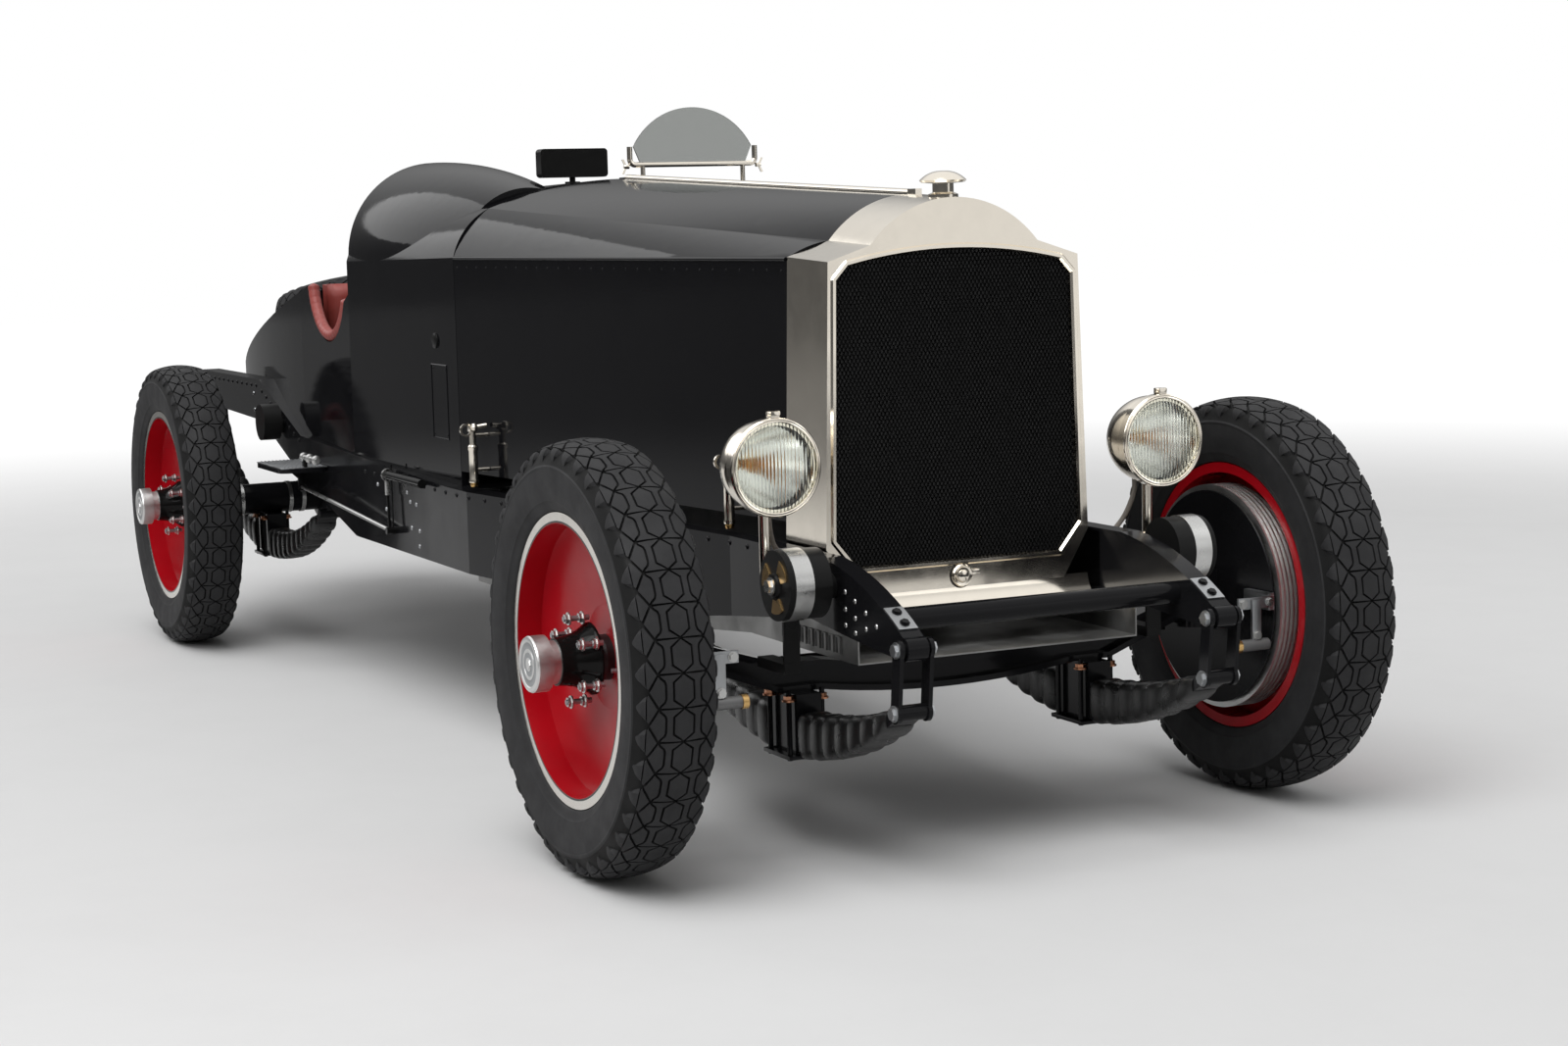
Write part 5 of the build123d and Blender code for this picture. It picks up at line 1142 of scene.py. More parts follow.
def add_gaiter(bm, axle_x, y, spring, start, end):
    """Leather sleeve in puffed segments over one half of a leaf spring."""
    reach, top, depth, front_z, rear_z, half = spring
    upper = [(axle_x + reach, front_z + 0.006), (axle_x, top), (axle_x - reach, rear_z + 0.006)]
    lower = [(axle_x + reach, front_z - 0.006), (axle_x, top - depth), (axle_x - reach, rear_z - 0.006)]
    length = abs(end - start)
    puffs = max(int(length / 0.052), 3)
    per = 6
    rings = []
    for k in range(puffs * per + 1):
        share = k / (puffs * per)
        x = axle_x + start + (end - start) * share
        swell = abs(math.sin(math.pi * share * puffs)) ** 0.6
        high = circle_height(x, *upper) + 0.003 + 0.006 * swell
        low = circle_height(x, *lower) - 0.003 - 0.006 * swell
        wide = half + 0.003 + 0.006 * swell
        middle = (high + low) / 2
        tall = (high - low) / 2
        ring = []
        for turn in range(20):
            angle = 2 * math.pi * turn / 20
            c, d = math.cos(angle), math.sin(angle)
            out = wide * math.copysign(abs(c) ** 0.45, c)
            up = tall * math.copysign(abs(d) ** 0.45, d)
            ring.append(bm.verts.new((x, y + out, middle + up)))
        rings.append(ring)
    close_ends(bm, rings)


# Half length, top at the axle, depth, heights of the front and rear ends, half-width
FRONT_SPRING = (0.485, 0.275, 0.078, 0.348, 0.348, 0.027)
REAR_SPRING = (0.640, 0.330, 0.074, 0.430, 0.560, 0.029)
FRONT_SPRING_Y = 0.334
REAR_SPRING_Y = 0.487


class SPEEDSTER_OT_springs(bpy.types.Operator):
    """Leather gaiters, U-bolts and shackle bolts of the leaf springs"""

    bl_idname = "speedster.springs"
    bl_label = "Springs"

    def execute(self, context):
        sleeves = bmesh.new()
        bolts = bmesh.new()
        nuts = []
        for side in BOTH:
            for axle_x, y, spring in ((FRONT_AXLE, FRONT_SPRING_Y, FRONT_SPRING),
                                      (REAR_AXLE, REAR_SPRING_Y, REAR_SPRING)):
                reach, top, depth = spring[:3]
                for way in BOTH:
                    add_gaiter(sleeves, axle_x, side * y, spring, way * 0.068, way * (reach - 0.045))
                    for wide in (-0.036, 0.036):
                        x = axle_x + way * 0.044
                        place = Vector((x, side * y + wide, top - depth - 0.012))
                        add_tube(bolts, [place, place + Vector((0, 0, depth + 0.062))], 0.0055, 10)
                        nuts.append((place + Vector((0, 0, depth + 0.040)), Z_AXIS))
                add_block(bolts, (axle_x - 0.060, side * y - 0.045, top - depth - 0.009),
                          (axle_x + 0.060, side * y + 0.045, top - depth - 0.0005), 0.002)
        new_piece("spring_gaiters", sleeves, "gaiter", "chassis", 50)
        new_piece("spring_u_bolts", bolts, "chassis", "chassis")
        scatter("spring_nuts", "hex", nuts, "copper", "chassis", 0.0105, 0.011)
        pins = []
        for side in BOTH:
            for x, z in ((FRONT_AXLE + 0.498, 0.466), (FRONT_AXLE + FRONT_SPRING[0], FRONT_SPRING[3])):
                for way in BOTH:
                    pins.append(((x, side * FRONT_SPRING_Y + way * 0.0352, z), Y_AXIS * way))
            for way in BOTH:
                place = (REAR_AXLE - REAR_SPRING[0], side * REAR_SPRING_Y + way * 0.0372, REAR_SPRING[4])
                pins.append((place, Y_AXIS * way))
        scatter("shackle_nuts", "hex", pins, "zinc", "chassis", 0.012, 0.008)
        return {"FINISHED"}


# Frame: outer faces of the horns and of the rails' kick-up
HORN_FACE_Y = 0.355
KICK_FACE_Y = 0.510
RIVET_Z = 0.586


class SPEEDSTER_OT_frame(bpy.types.Operator):
    """Bolts of the horns, rivets of the rails, horn plates and pan louvres"""

    bl_idname = "speedster.frame"
    bl_label = "Frame fittings"

    def execute(self, context):
        bolt = context.scene.speedster_fittings.bolt
        domes = []
        rivets = []
        plates = bmesh.new()
        plate_bolts = []
        for side in BOTH:
            aim = Y_AXIS * side
            for x, z in ((2.235, 0.545), (2.235, 0.512), (2.235, 0.482), (2.275, 0.532), (2.275, 0.500),
                         (2.275, 0.472), (2.318, 0.515), (2.318, 0.485), (2.360, 0.495)):
                domes.append(((x, side * HORN_FACE_Y, z), aim))
            for k in range(9):  # up the kick
                x = -0.985 - 0.050 * k
                z = 0.655 + 0.137 * k * 0.050 / 0.445 - 0.028
                rivets.append(((x, side * KICK_FACE_Y, z), aim))
            for k in range(12):  # behind it
                rivets.append(((-1.45 - 0.058 * k, side * KICK_FACE_Y, 0.765), aim))
            for k in range(26):  # along the rail
                x = 1.80 - 0.085 * k
                rivets.append(((x, surface_y("frame_rails", x, RIVET_Z, side), RIVET_Z), aim))
            y = side * FRONT_SPRING_Y
            outline = [surface_z("frame_rails", x, y) for x in (2.385, 2.405, 2.425, 2.445)]
            strip_along(plates, outline, Y_AXIS * side, 0.0195, 0.003)
            for x in (2.400, 2.430):
                place, normal = surface_z("frame_rails", x, y)
                plate_bolts.append((place + normal * 0.003, normal))
        self.pan_slots()
        scatter("horn_bolts", "rivet", domes, "steel", "chassis", bolt * 0.55)
        scatter("frame_rivets", "rivet", rivets, "chassis", "chassis", 0.0062)
        new_piece("horn_plates", plates, "zinc", "chassis")
        scatter("horn_plate_bolts", "hex", plate_bolts, "chassis", "chassis", 0.0075, 0.005)
        return {"FINISHED"}

    def pan_slots(self):
        """Louvres in rows on the sides of the belly pan, with dark blocks of painted shade in their mouths.
        """
        hoods = bmesh.new()
        mouths = bmesh.new()
        for side in BOTH:
            for k in range(9):
                spot = pan_side(2.120 - 0.030 * k, 0.425, side)
                if spot is None:
                    continue
                place, normal = spot
                up = (Z_AXIS - normal * normal.z).normalized()
                along = normal.cross(up)
                # Painted shade: the mouth of each louvre is a thin block of radiator black.
                for bm, wide, tall, lift in ((hoods, 0.0085, 0.017, 0.0035), (mouths, 0.0030, 0.015, 0.0042)):
                    shift = along * (0.0045 if bm is mouths else 0.0)
                    corners = [place + shift + along * (wide * a) + up * (tall * b) - normal * 0.0005
                               for a, b in ((-1, -1), (1, -1), (1, 1), (-1, 1))]
                    add_prism(bm, corners, normal * lift)
        new_piece("pan_louvres", hoods, "alloy", "chassis")
        new_piece("pan_louvre_mouth_shade", mouths, "core", "chassis")


def pan_side(x, z, side):
    """Place and normal on the belly pan's side, or None beside it."""
    found = surface_hit("belly_pan", (x, side * 2.0, z), (0, -side, 0))
    return found if found and found[1].y * side > 0.2 else None


def strip_along(bm, places, cross, half, thickness):
    """A flat strip that follows surface places given as (point, normal)."""
    rings = []
    for place, normal in places:
        rings.append([
            bm.verts.new(place + cross * half + normal * 0.0003),
            bm.verts.new(place + cross * half + normal * thickness),
            bm.verts.new(place - cross * half + normal * thickness),
            bm.verts.new(place - cross * half + normal * 0.0003)])
    close_ends(bm, rings)


# Beside the frame: the brake shaft, the lower end of its lever, and the beaded tube on the step plate
SHAFT_Y = 0.530
SHAFT_Z = 0.598
LEVER_X = -0.058
ROD_Z = 0.452
TUBE_Y = 0.575
TUBE_Z = 0.602


class SPEEDSTER_OT_side_gear(bpy.types.Operator):
    """Ribbed step plates, brake shaft with its lever, rod, frame bolts and axle bands"""

    bl_idname = "speedster.side_gear"
    bl_label = "Side gear"

    def execute(self, context):
        plates = bmesh.new()
        rods = bmesh.new()
        black = bmesh.new()
        bands = bmesh.new()
        bolts = []
        for side in BOTH:
            low_y, high_y = sorted((side * 0.514, side * 0.646))
            add_block(plates, (-0.952, low_y, 0.5718), (-0.680, high_y, 0.5745), 0.001)
            for k in range(11):
                y = low_y + 0.011 + 0.011 * k
                add_block(plates, (-0.945, y - 0.0018, 0.5742), (-0.687, y + 0.0018, 0.5765))
            add_side_bar(rods, side, (-0.800, 0.560, 0.511), (LEVER_X, 0.529, ROD_Z), 0.0055)
            add_side_bar(black, side, (LEVER_X, 0.509, ROD_Z), (LEVER_X, 0.540, ROD_Z), 0.0095, 16)
            add_side_block(black, side, (-0.812, 0.554, 0.498), (-0.788, 0.566, 0.5605), 0.002)
            add_side_bar(black, side, (-0.060, SHAFT_Y, SHAFT_Z), (0.230, SHAFT_Y, SHAFT_Z), 0.0115, 18)
            for x in (0.020, 0.190):
                add_side_bar(black, side, (x, 0.505, SHAFT_Z), (x, SHAFT_Y, SHAFT_Z), 0.0085)
            add_side_bar(rods, side, (-0.066, SHAFT_Y, SHAFT_Z), (LEVER_X, SHAFT_Y, SHAFT_Z), 0.0160, 18)
            add_side_block(rods, side, (-0.072, 0.524, 0.545), (LEVER_X, 0.536, 0.615), 0.003)
            add_side_bar(black, side, (-0.065, SHAFT_Y, 0.551), (LEVER_X, SHAFT_Y, ROD_Z), 0.0035, 10)
            add_side_bar(rods, side, (-0.700, TUBE_Y, TUBE_Z), (-0.560, TUBE_Y, TUBE_Z), 0.0075, 14)
            bead = [(-0.010, 0), (-0.008, 0.010), (0, 0.0135), (0.008, 0.010), (0.010, 0)]
            for x in (-0.700, -0.640, -0.575):
                add_lathe(rods, bead, Vector((x, side * TUBE_Y, TUBE_Z)), X_AXIS, 18)
            for x in (-0.690, -0.700):
                add_side_bar(black, side, (x, TUBE_Y, 0.5740), (x, TUBE_Y, 0.600), 0.0060)
            for x, z in ((0.065, 0.537), (0.115, 0.534), (0.070, 0.470), (0.135, 0.468), (-0.215, 0.560),
                         (-0.145, 0.500), (0.040, 0.560), (0.130, 0.428), (-1.480, 0.740),
                         (-1.475, 0.690), (-1.430, 0.700)):
                bolts.append(((x, surface_y("frame_rails", x, z, side), z), (0, side, 0)))
            y = surface_y("frame_rails", -0.090, 0.52, side)
            add_tube(black, [(-0.090, y, 0.440), (-0.090, y, 0.622)], 0.0022, 8)
            band = [(-0.006, 0.0445), (-0.006, 0.0485), (0.006, 0.0485), (0.006, 0.0445)]
            for y in (0.395, 0.435, 0.585):
                centre = Vector((REAR_AXLE, side * y, wheel_centre("rear", "left").z))
                add_lathe(bands, band, centre, Y_AXIS, 40, closed=True)
        new_piece("step_plates", plates, "zinc", "chassis")
        new_piece("brake_rods", rods, "steel", "chassis")
        new_piece("brake_shafts", black, "gloss", "chassis")
        new_piece("axle_bands", bands, "steel", "chassis")
        scatter("side_bolts", "rivet", bolts, "zinc", "chassis", 0.0060)
        return {"FINISHED"}


# Brakes and shock absorbers
BAR_AHEAD = 0.226  # ahead of the front axle
CYLINDER_Z = 0.352


class SPEEDSTER_OT_brakes(bpy.types.Operator):
    """Faces of the friction shock absorbers, and the brake levers on the knuckles"""

    bl_idname = "speedster.brakes"
    bl_label = "Brakes and shock absorbers"

    def execute(self, context):
        for hand, side in SIDES:
            self.shock_faces(hand, side)
            self.brake_lever(hand, side)
        return {"FINISHED"}

    def shock_faces(self, hand, side):
        """Polished band, dark face with brass segments and a centre bolt on a front shock absorber."""
        centre = Vector((FRONT_AXLE + 0.215, side * 0.474, 0.560))
        out = Vector((0, side, 0))
        band = [(-0.050, 0.0672), (-0.050, 0.0690), (-0.012, 0.0690), (-0.012, 0.0672)]
        turned(f"shock_band_{hand}", band, centre, out, "steel", "chassis", 48)
        star = bmesh.new()
        for turn in (40, 160, 280):
            inner = arc_points(centre + out * 0.0002, X_AXIS, Z_AXIS, 0.028, turn - 26, turn + 26, 7)
            outer = arc_points(centre + out * 0.0002, X_AXIS, Z_AXIS, 0.054, turn + 26, turn - 26, 9)
            add_prism(star, inner + outer, out * 0.0018)
        new_piece(f"shock_segments_{hand}", star, "brass", "chassis")
        hub = [(0.0001, 0), (0.0001, 0.024), (0.006, 0.022), (0.008, 0.016), (0.008, 0)]
        turned(f"shock_hub_{hand}", hub, centre, out, "trim", "chassis")
        scatter(f"shock_nut_{hand}", "hex", [(centre + out * 0.008, out)], "steel", "chassis", 0.013, 0.010)

    def brake_lever(self, hand, side):
        """Grey bar with its bolts, lever and short cylinder in front of the brake plate."""
        body = f"knuckle_{hand}_body"
        bars = bmesh.new()
        x = FRONT_AXLE + BAR_AHEAD
        add_side_block(bars, side, (x, 0.560, 0.425), (x + 0.006, 0.648, 0.449), 0.002)
        add_side_block(bars, side, (x + 0.0058, 0.590, 0.350), (x + 0.013, 0.612, 0.445), 0.002)
        add_side_block(bars, side, (x - 0.085, 0.636, 0.418), (x + 0.003, 0.6512, 0.454), 0.003)
        new_piece(f"brake_bar_{hand}", bars, "zinc", body)
        for name, start, end, radius, material in (
                ("cylinder", 0.560, 0.628, 0.012, "iron"), ("bronze", 0.548, 0.560, 0.014, "brass")):
            rod = bmesh.new()
            ahead = x + 0.010
            add_side_bar(rod, side, (ahead, start, CYLINDER_Z), (ahead, end, CYLINDER_Z), radius, 20)
            new_piece(f"brake_{name}_{hand}", rod, material, body)
        spots = ((0.006, 0.572, 0.437), (0.006, 0.638, 0.437), (0.013, 0.601, 0.372))
        places = [((x + ahead, side * y, z), X_AXIS) for ahead, y, z in spots]
        scatter(f"brake_bolts_{hand}", "hex", places, "steel", body, 0.008, 0.006)


# Headlamps
LAMP_X = 2.119
LAMP_Y = 0.435
LAMP_Z = 0.775
GLASS_RADIUS = 0.0872


def add_ribbed_disc(bm, centre, rib):
    """Round glass with vertical half-round ribs on its inner face."""
    columns = int(2 * GLASS_RADIUS / rib) * 6
    front = []
    back = []
    for k in range(columns + 1):
        y = -GLASS_RADIUS + 2 * GLASS_RADIUS * k / columns
        reach = math.sqrt(max(GLASS_RADIUS ** 2 - y * y, 1e-8))
        depth = 0.0016 * abs(math.sin(math.pi * (y + GLASS_RADIUS) / rib))
        rows_front = []
        rows_back = []
        for step in range(13):
            z = reach * math.cos(math.pi * step / 12)
            bulge = 0.0008 * (1 - (y * y + z * z) / GLASS_RADIUS ** 2)
            rows_front.append(bm.verts.new(centre + Vector((-0.0022 + bulge + 0.8 * depth, y, z))))
            rows_back.append(bm.verts.new(centre + Vector((-0.0060 + depth, y, z))))
        front.append(rows_front)
        back.append(rows_back)
    bridge(bm, front, closed_round=False)
    bridge(bm, back, closed_round=False)
    for k in range(columns):
        for end in (0, -1):
            bm.faces.new([front[k][end], front[k + 1][end], back[k + 1][end], back[k][end]])
    for end in (0, -1):
        for step in range(12):
            bm.faces.new([front[end][step], front[end][step + 1], back[end][step + 1], back[end][step]])


class SPEEDSTER_OT_lamps(bpy.types.Operator):
    """Ribbed glasses, reflectors, bulbs, rim clamps and conduits of the headlamps"""

    bl_idname = "speedster.lamps"
    bl_label = "Headlamps"

    def execute(self, context):
        glass_bm = bmesh.new()
        bright = bmesh.new()
        clamps = bmesh.new()
        bulbs = bmesh.new()
        holders = bmesh.new()
        braid = bmesh.new()
        for side in BOTH:
            centre = Vector((LAMP_X, side * LAMP_Y, LAMP_Z))
            add_ribbed_disc(glass_bm, centre, context.scene.speedster_fittings.rib)
            dish = []
            for k in range(15):
                radius = 0.010 + 0.068 * k / 14
                dish.append((-0.122 + 0.092 * (radius / 0.078) ** 2, radius))
            back = [(along - 0.0012, radius + 0.0008) for along, radius in reversed(dish)]
            add_lathe(bright, dish + back, centre, X_AXIS, 48, True)
            bulb = [
                (-0.078, 0), (-0.079, 0.006), (-0.086, 0.011), (-0.094, 0.011), (-0.104, 0.006),
                (-0.112, 0.006)]
            add_lathe(bulbs, bulb, centre, X_AXIS, 20)
            add_lathe(holders, [(-0.106, 0.0075), (-0.122, 0.0075), (-0.122, 0.0)], centre, X_AXIS, 20)
            top = centre + Vector((-0.011, 0, 0.0945))
            add_block(clamps, top + Vector((-0.012, -0.009, 0)), top + Vector((0.010, 0.009, 0.012)), 0.002)
            add_tube(clamps, [top + Vector((0, -0.013, 0.008)), top + Vector((0, 0.013, 0.008))], 0.0045, 12)
            rim = [
                (-0.004, 0.0855), (0.0004, 0.0860), (0.0014, 0.0878), (0.0004, 0.0893), (-0.0010, 0.0897),
                (0.0002, 0.0906), (0.0008, 0.0922), (-0.0006, 0.0938), (-0.004, 0.0942)]
            add_lathe(clamps, rim, centre, X_AXIS, 72, closed=True)
            start = centre + Vector((-0.080, side * -0.020, -0.078))
            steps = ((0, 0, 0), (-0.004, 0.0, -0.035), (-0.016, -0.014, -0.080), (-0.020, -0.040, -0.112))
            points = [start + Vector((x, side * y, z)) for x, y, z in steps]
            add_tube(braid, smooth_path(points, 8), 0.0052, 12)
        piece = new_piece("ribbed_glasses", glass_bm, "lens", "chassis", 50)
        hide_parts("headlamp_lenses")
        new_piece("reflectors", bright, "mirror", "chassis", 60)
        new_piece("lamp_bulbs", bulbs, "amber", "chassis", 60)
        new_piece("lamp_conduits", braid, "braid", "chassis")
        new_piece("bulb_holders", holders, "brass", "chassis")
        new_piece("lamp_clamps", clamps, "nickel", "chassis")
        return {"FINISHED"}


def smooth_path(points, steps):
    """Catmull-Rom curve through points."""
    points = [Vector(p) for p in points]
    padded = [points[0] * 2 - points[1]] + points + [points[-1] * 2 - points[-2]]
    path = []
    for a, b, c, d in zip(padded, padded[1:], padded[2:], padded[3:]):
        for k in range(steps):
            t = k / steps
            path.append(0.5 * ((2 * b) + (c - a) * t + (2 * a - 5 * b + 4 * c - d) * t * t
                               + (3 * b - a - 3 * c + d) * t ** 3))
    path.append(points[-1])
    return path


# Windscreen
class SPEEDSTER_OT_screen(bpy.types.Operator):
    """Wing nuts of the windscreen, and the mirror's glass"""

    bl_idname = "speedster.screen"
    bl_label = "Windscreen and mirror"

    def execute(self, context):
        low, high = node_box("windscreen_frame")
        x = (low.x + high.x) / 2
        nuts = bmesh.new()
        for y, way in ((low.y, -1), (high.y, 1)):
            centre = Vector((x, y, low.z + 0.092))
            out = Y_AXIS * way
            add_lathe(nuts, [(-0.004, 0.0055), (0.006, 0.0055), (0.010, 0.004), (0.010, 0)], centre, out, 20)
            for lean in BOTH:
                corners = ((0.003, 0.004), (0.009, 0.004), (0.016, 0.018), (0.010, 0.019))
                wing = [centre + out * reach + Z_AXIS * (lean * lift) for reach, lift in corners]
                add_prism(nuts, [point - X_AXIS * 0.0015 for point in wing], X_AXIS * 0.003)
        new_piece("screen_wing_nuts", nuts, "nickel", "chassis")
        box_low, box_high = node_box("mirror")
        pane = bmesh.new()
        add_block(pane, (box_low.x - 0.0002, box_low.y + 0.010, box_high.z - 0.068),
                  (box_low.x + 0.001, box_high.y - 0.010, box_high.z - 0.008))
        new_piece("mirror_glass", pane, "mirror", "chassis")
        return {"FINISHED"}


# Crank-hole cover, cowl and tail
SHELL_FRONT = 2.045
HATCH = (0.180, 0.285, 0.710, 0.895)  # low and high x, low and high z
SCREW_INSET = 0.010


class SPEEDSTER_OT_body(bpy.types.Operator):
    """Crank-hole cover, hatch and cap of the cowl, deck rivets and the spare's clamp"""

    bl_idname = "speedster.body"
    bl_label = "Body fittings"

    def execute(self, context):
        rivet = context.scene.speedster_fittings.rivet
        self.hole_cover()
        self.hatch(rivet)
        self.deck_rivets(rivet)
        self.spare_clamp()
        return {"FINISHED"}

    def hole_cover(self):
        """Plain round cover with an ear and a slot, on the lower band of the shell, with a dark ring of
        painted shade in the gap round it and a dark strip of painted shade in the slot.
        """
        bm = bmesh.new()
        centre = Vector((SHELL_FRONT + 0.0002, 0, 0.527))
        add_lathe(bm, [(0.0, 0.0235), (0.0065, 0.0230), (0.0095, 0.0205), (0.0080, 0.0180), (0.0080, 0.0130),
                       (0.0120, 0.0110), (0.0135, 0.0060), (0.0138, 0.0)], centre, X_AXIS, 48)
        add_block(bm, centre + Vector((0, 0.020, 0.000)), centre + Vector((0.006, 0.040, 0.010)), 0.002)
        new_piece("hole_cover", bm, "nickel", "chassis")
        # Painted shade: a thin ring of radiator black stands for the shade in the gap round the cover.
        gap = [(-0.0010, 0.0232), (0.0008, 0.0234), (0.0008, 0.0258), (-0.0010, 0.0260)]
        turned("hole_cover_gap_shade", gap, centre, X_AXIS, "core", "chassis", 48, True)
        # Painted shade: a strip of radiator black stands for the shade in the slot.
        slot = bmesh.new()
        ends = ((0.0128, -0.0090, -0.0018), (0.0143, 0.0090, 0.0018))
        add_block(slot, *[centre + Vector(end) for end in ends])
        new_piece("hole_cover_slot_shade", slot, "core", "chassis")

    def hatch(self, rivet):
        """Small hatch with a raised edge and a round cap on the cowl's right side."""
        bm = bmesh.new()
        low_x, high_x, low_z, high_z = HATCH
        side = -1
        corners = ((low_x, low_z), (high_x, low_z), (high_x, high_z), (low_x, high_z))
        edge = [Vector((x, surface_y("cowl", x, z, side), z)) for x, z in corners]
        for start, end in zip(edge, edge[1:] + edge[:1]):
            add_tube(bm, [start, end], 0.0018, 8)
        new_piece("cowl_hatch_edge", bm, "body", "chassis")
        screws = []
        for x, z in corners:
            x += SCREW_INSET if x == low_x else -SCREW_INSET
            z += SCREW_INSET if z == low_z else -SCREW_INSET
            screws.append(((x, surface_y("cowl", x, z, side), z), (0, side, 0)))
        scatter("cowl_hatch_screws", "rivet", screws, "body", "chassis", rivet * 1.2)
        place = Vector((0.215, surface_y("cowl", 0.215, 0.955, side), 0.955))
        cap = [(0.0, 0.0200), (0.0035, 0.0195), (0.0055, 0.0150), (0.0060, 0.0)]
        turned("cowl_cap", cap, place, Vector((0, side, 0)), "trim", "chassis")

    def deck_rivets(self, rivet):
        """Rivets along the edge of the tail deck and the seam at its front."""
        rows = []
        for side in BOTH:
            for k in range(27):
                x = -1.02 - 0.048 * k
                edge = surface_y("tail_deck", x, 0.740, side)
                rows.append(surface_z("tail_deck", x, edge - side * 0.022))
        for k in range(17):
            y = -0.40 + 0.05 * k
            if abs(y) >= 0.10:
                rows.append(surface_z("tail_deck", -0.985, y))
        scatter("deck_rivets", "rivet", rows, "body", "chassis", rivet * 1.3)

    def spare_clamp(self):
        """Clamp in the middle of the spare."""
        up = (deck_slope() @ Vector((0, 0, 1, 0))).to_3d()
        low, high = node_box("spare_tyre")
        clamp = [
            (-0.020, 0), (-0.020, 0.060), (-0.008, 0.060), (0.000, 0.045), (0.012, 0.030),
            (0.030, 0.026), (0.040, 0.014), (0.040, 0)]
        turned("spare_clamp", clamp, (low + high) / 2 - up * 0.030, up, "trim", "chassis", 40)


# Cockpit: the dash and its dials as (y, z, radius)
DASH_X = -0.1955
DASH_DIALS = ((-0.34, 1.170, 0.040), (-0.22, 1.180, 0.052), (-0.10, 1.190, 0.034), (0.035, 1.185, 0.052),
              (-0.28, 1.085, 0.024), (-0.16, 1.090, 0.024), (-0.06, 1.095, 0.024))


class SPEEDSTER_OT_cockpit(bpy.types.Operator):
    """Dials, knobs, levers and pedals of the cockpit"""

    bl_idname = "speedster.cockpit"
    bl_label = "Cockpit"

    def execute(self, context):
        self.dials()
        self.levers()
        self.pedals()
        return {"FINISHED"}

    def dials(self):
        """Plain dials with ticks and a needle, in nickel bezels on the dash."""
        bezels = bmesh.new()
        faces = bmesh.new()
        marks = bmesh.new()
        back = -X_AXIS
        for y, z, radius in DASH_DIALS:
            centre = Vector((DASH_X, y, z))
            bezel = [
                (0, radius), (0.008, radius), (0.011, radius - 0.002), (0.011, radius - 0.005),
                (0.004, radius - 0.0065), (0.0, radius - 0.0065)]
            add_lathe(bezels, bezel, centre, back, 40, closed=True)
            face = [(0.0002, radius - 0.0060), (0.0035, radius - 0.0060), (0.0035, 0)]
            add_lathe(faces, face, centre, back, 40)
            for k in range(11):
                angle = math.radians(-50 + 280 * k / 10)
                arm = Y_AXIS * math.cos(angle) + Z_AXIS * math.sin(angle)
                cross = Y_AXIS * -math.sin(angle) + Z_AXIS * math.cos(angle)
                start = centre + back * 0.0036 + arm * (radius * 0.66)
                end = centre + back * 0.0036 + arm * (radius * 0.80)
                wide = cross * 0.0008
                add_prism(marks, [start - wide, start + wide, end + wide, end - wide], back * 0.0004)
            arm = Y_AXIS * 0.6 + Z_AXIS * 0.8
            cross = (Y_AXIS * 0.8 - Z_AXIS * 0.6) * 0.0012
            base = centre + back * 0.0048
            add_prism(marks, [base - cross - arm * radius * 0.15, base + cross - arm * radius * 0.15,
                              base + arm * radius * 0.62], back * 0.0006)
        new_piece("dial_bezels", bezels, "nickel", "chassis")
        new_piece("dial_faces", faces, "pale", "chassis")
        new_piece("dial_marks", marks, "core", "chassis")
        knobs = bmesh.new()
        knob = [(0, 0.006), (0.010, 0.005), (0.012, 0.009), (0.020, 0.009), (0.023, 0.005), (0.023, 0)]
        for y, z in ((0.10, 1.120), (0.10, 1.160), (0.10, 1.200), (-0.395, 1.110)):
            add_lathe(knobs, knob, Vector((DASH_X, y, z)), back, 20)
        new_piece("dash_knobs", knobs, "trim", "chassis")

    def levers(self):
        """Gear lever and handbrake that rise from the floor between the seats."""
        steel = bmesh.new()
        floor_z = surface_z("body_tub", -0.30, 0.0)[0].z
        gear = smooth_path([(-0.300, 0.010, floor_z + 0.001), (-0.305, 0.010, floor_z + 0.10),
                            (-0.330, 0.014, floor_z + 0.22), (-0.372, 0.020, floor_z + 0.33)], 6)
        add_tube(steel, gear, 0.0075, 12)
        brake = smooth_path([(-0.330, -0.055, floor_z + 0.001), (-0.345, -0.055, floor_z + 0.15),
                             (-0.365, -0.055, floor_z + 0.30)], 6)
        add_tube(steel, brake, 0.0085, 12)
        add_lathe(steel, [(0, 0.040), (0.006, 0.038), (0.012, 0.026), (0.018, 0.012), (0.018, 0)],
                  Vector((-0.300, 0.010, floor_z + 0.0005)), Z_AXIS, 32)
        new_piece("floor_levers", steel, "steel", "chassis")
        grips = bmesh.new()
        knob = [(-0.020, 0), (-0.017, 0.010), (-0.008, 0.017), (0.004, 0.019), (0.014, 0.014), (0.020, 0)]
        add_lathe(grips, knob, gear[-1], Vector((-0.3, 0, 1)), 24)
        add_tube(grips, [brake[-1] - Vector((0, 0, 0.07)), brake[-1] + Vector((0, 0, 0.012))], 0.0125, 16)
        new_piece("lever_grips", grips, "wood", "chassis")

    def pedals(self):
        """Three pedals on their arms in the driver's footwell."""
        steel = bmesh.new()
        pads = bmesh.new()
        for y in (0.105, 0.185, 0.300):
            floor_z = surface_z("body_tub", 0.10, y)[0].z
            arm = smooth_path([
                (0.150, y, floor_z + 0.001), (0.140, y, floor_z + 0.07), (0.105, y, floor_z + 0.14)], 5)
            add_tube(steel, arm, 0.008, 12)
            top = arm[-1]
            add_block(pads, top + Vector((-0.010, -0.032, -0.030)), top + Vector((0.0, 0.032, 0.042)), 0.004)
        new_piece("pedal_arms", steel, "steel", "chassis")
        new_piece("pedal_pads", pads, "trim", "chassis")


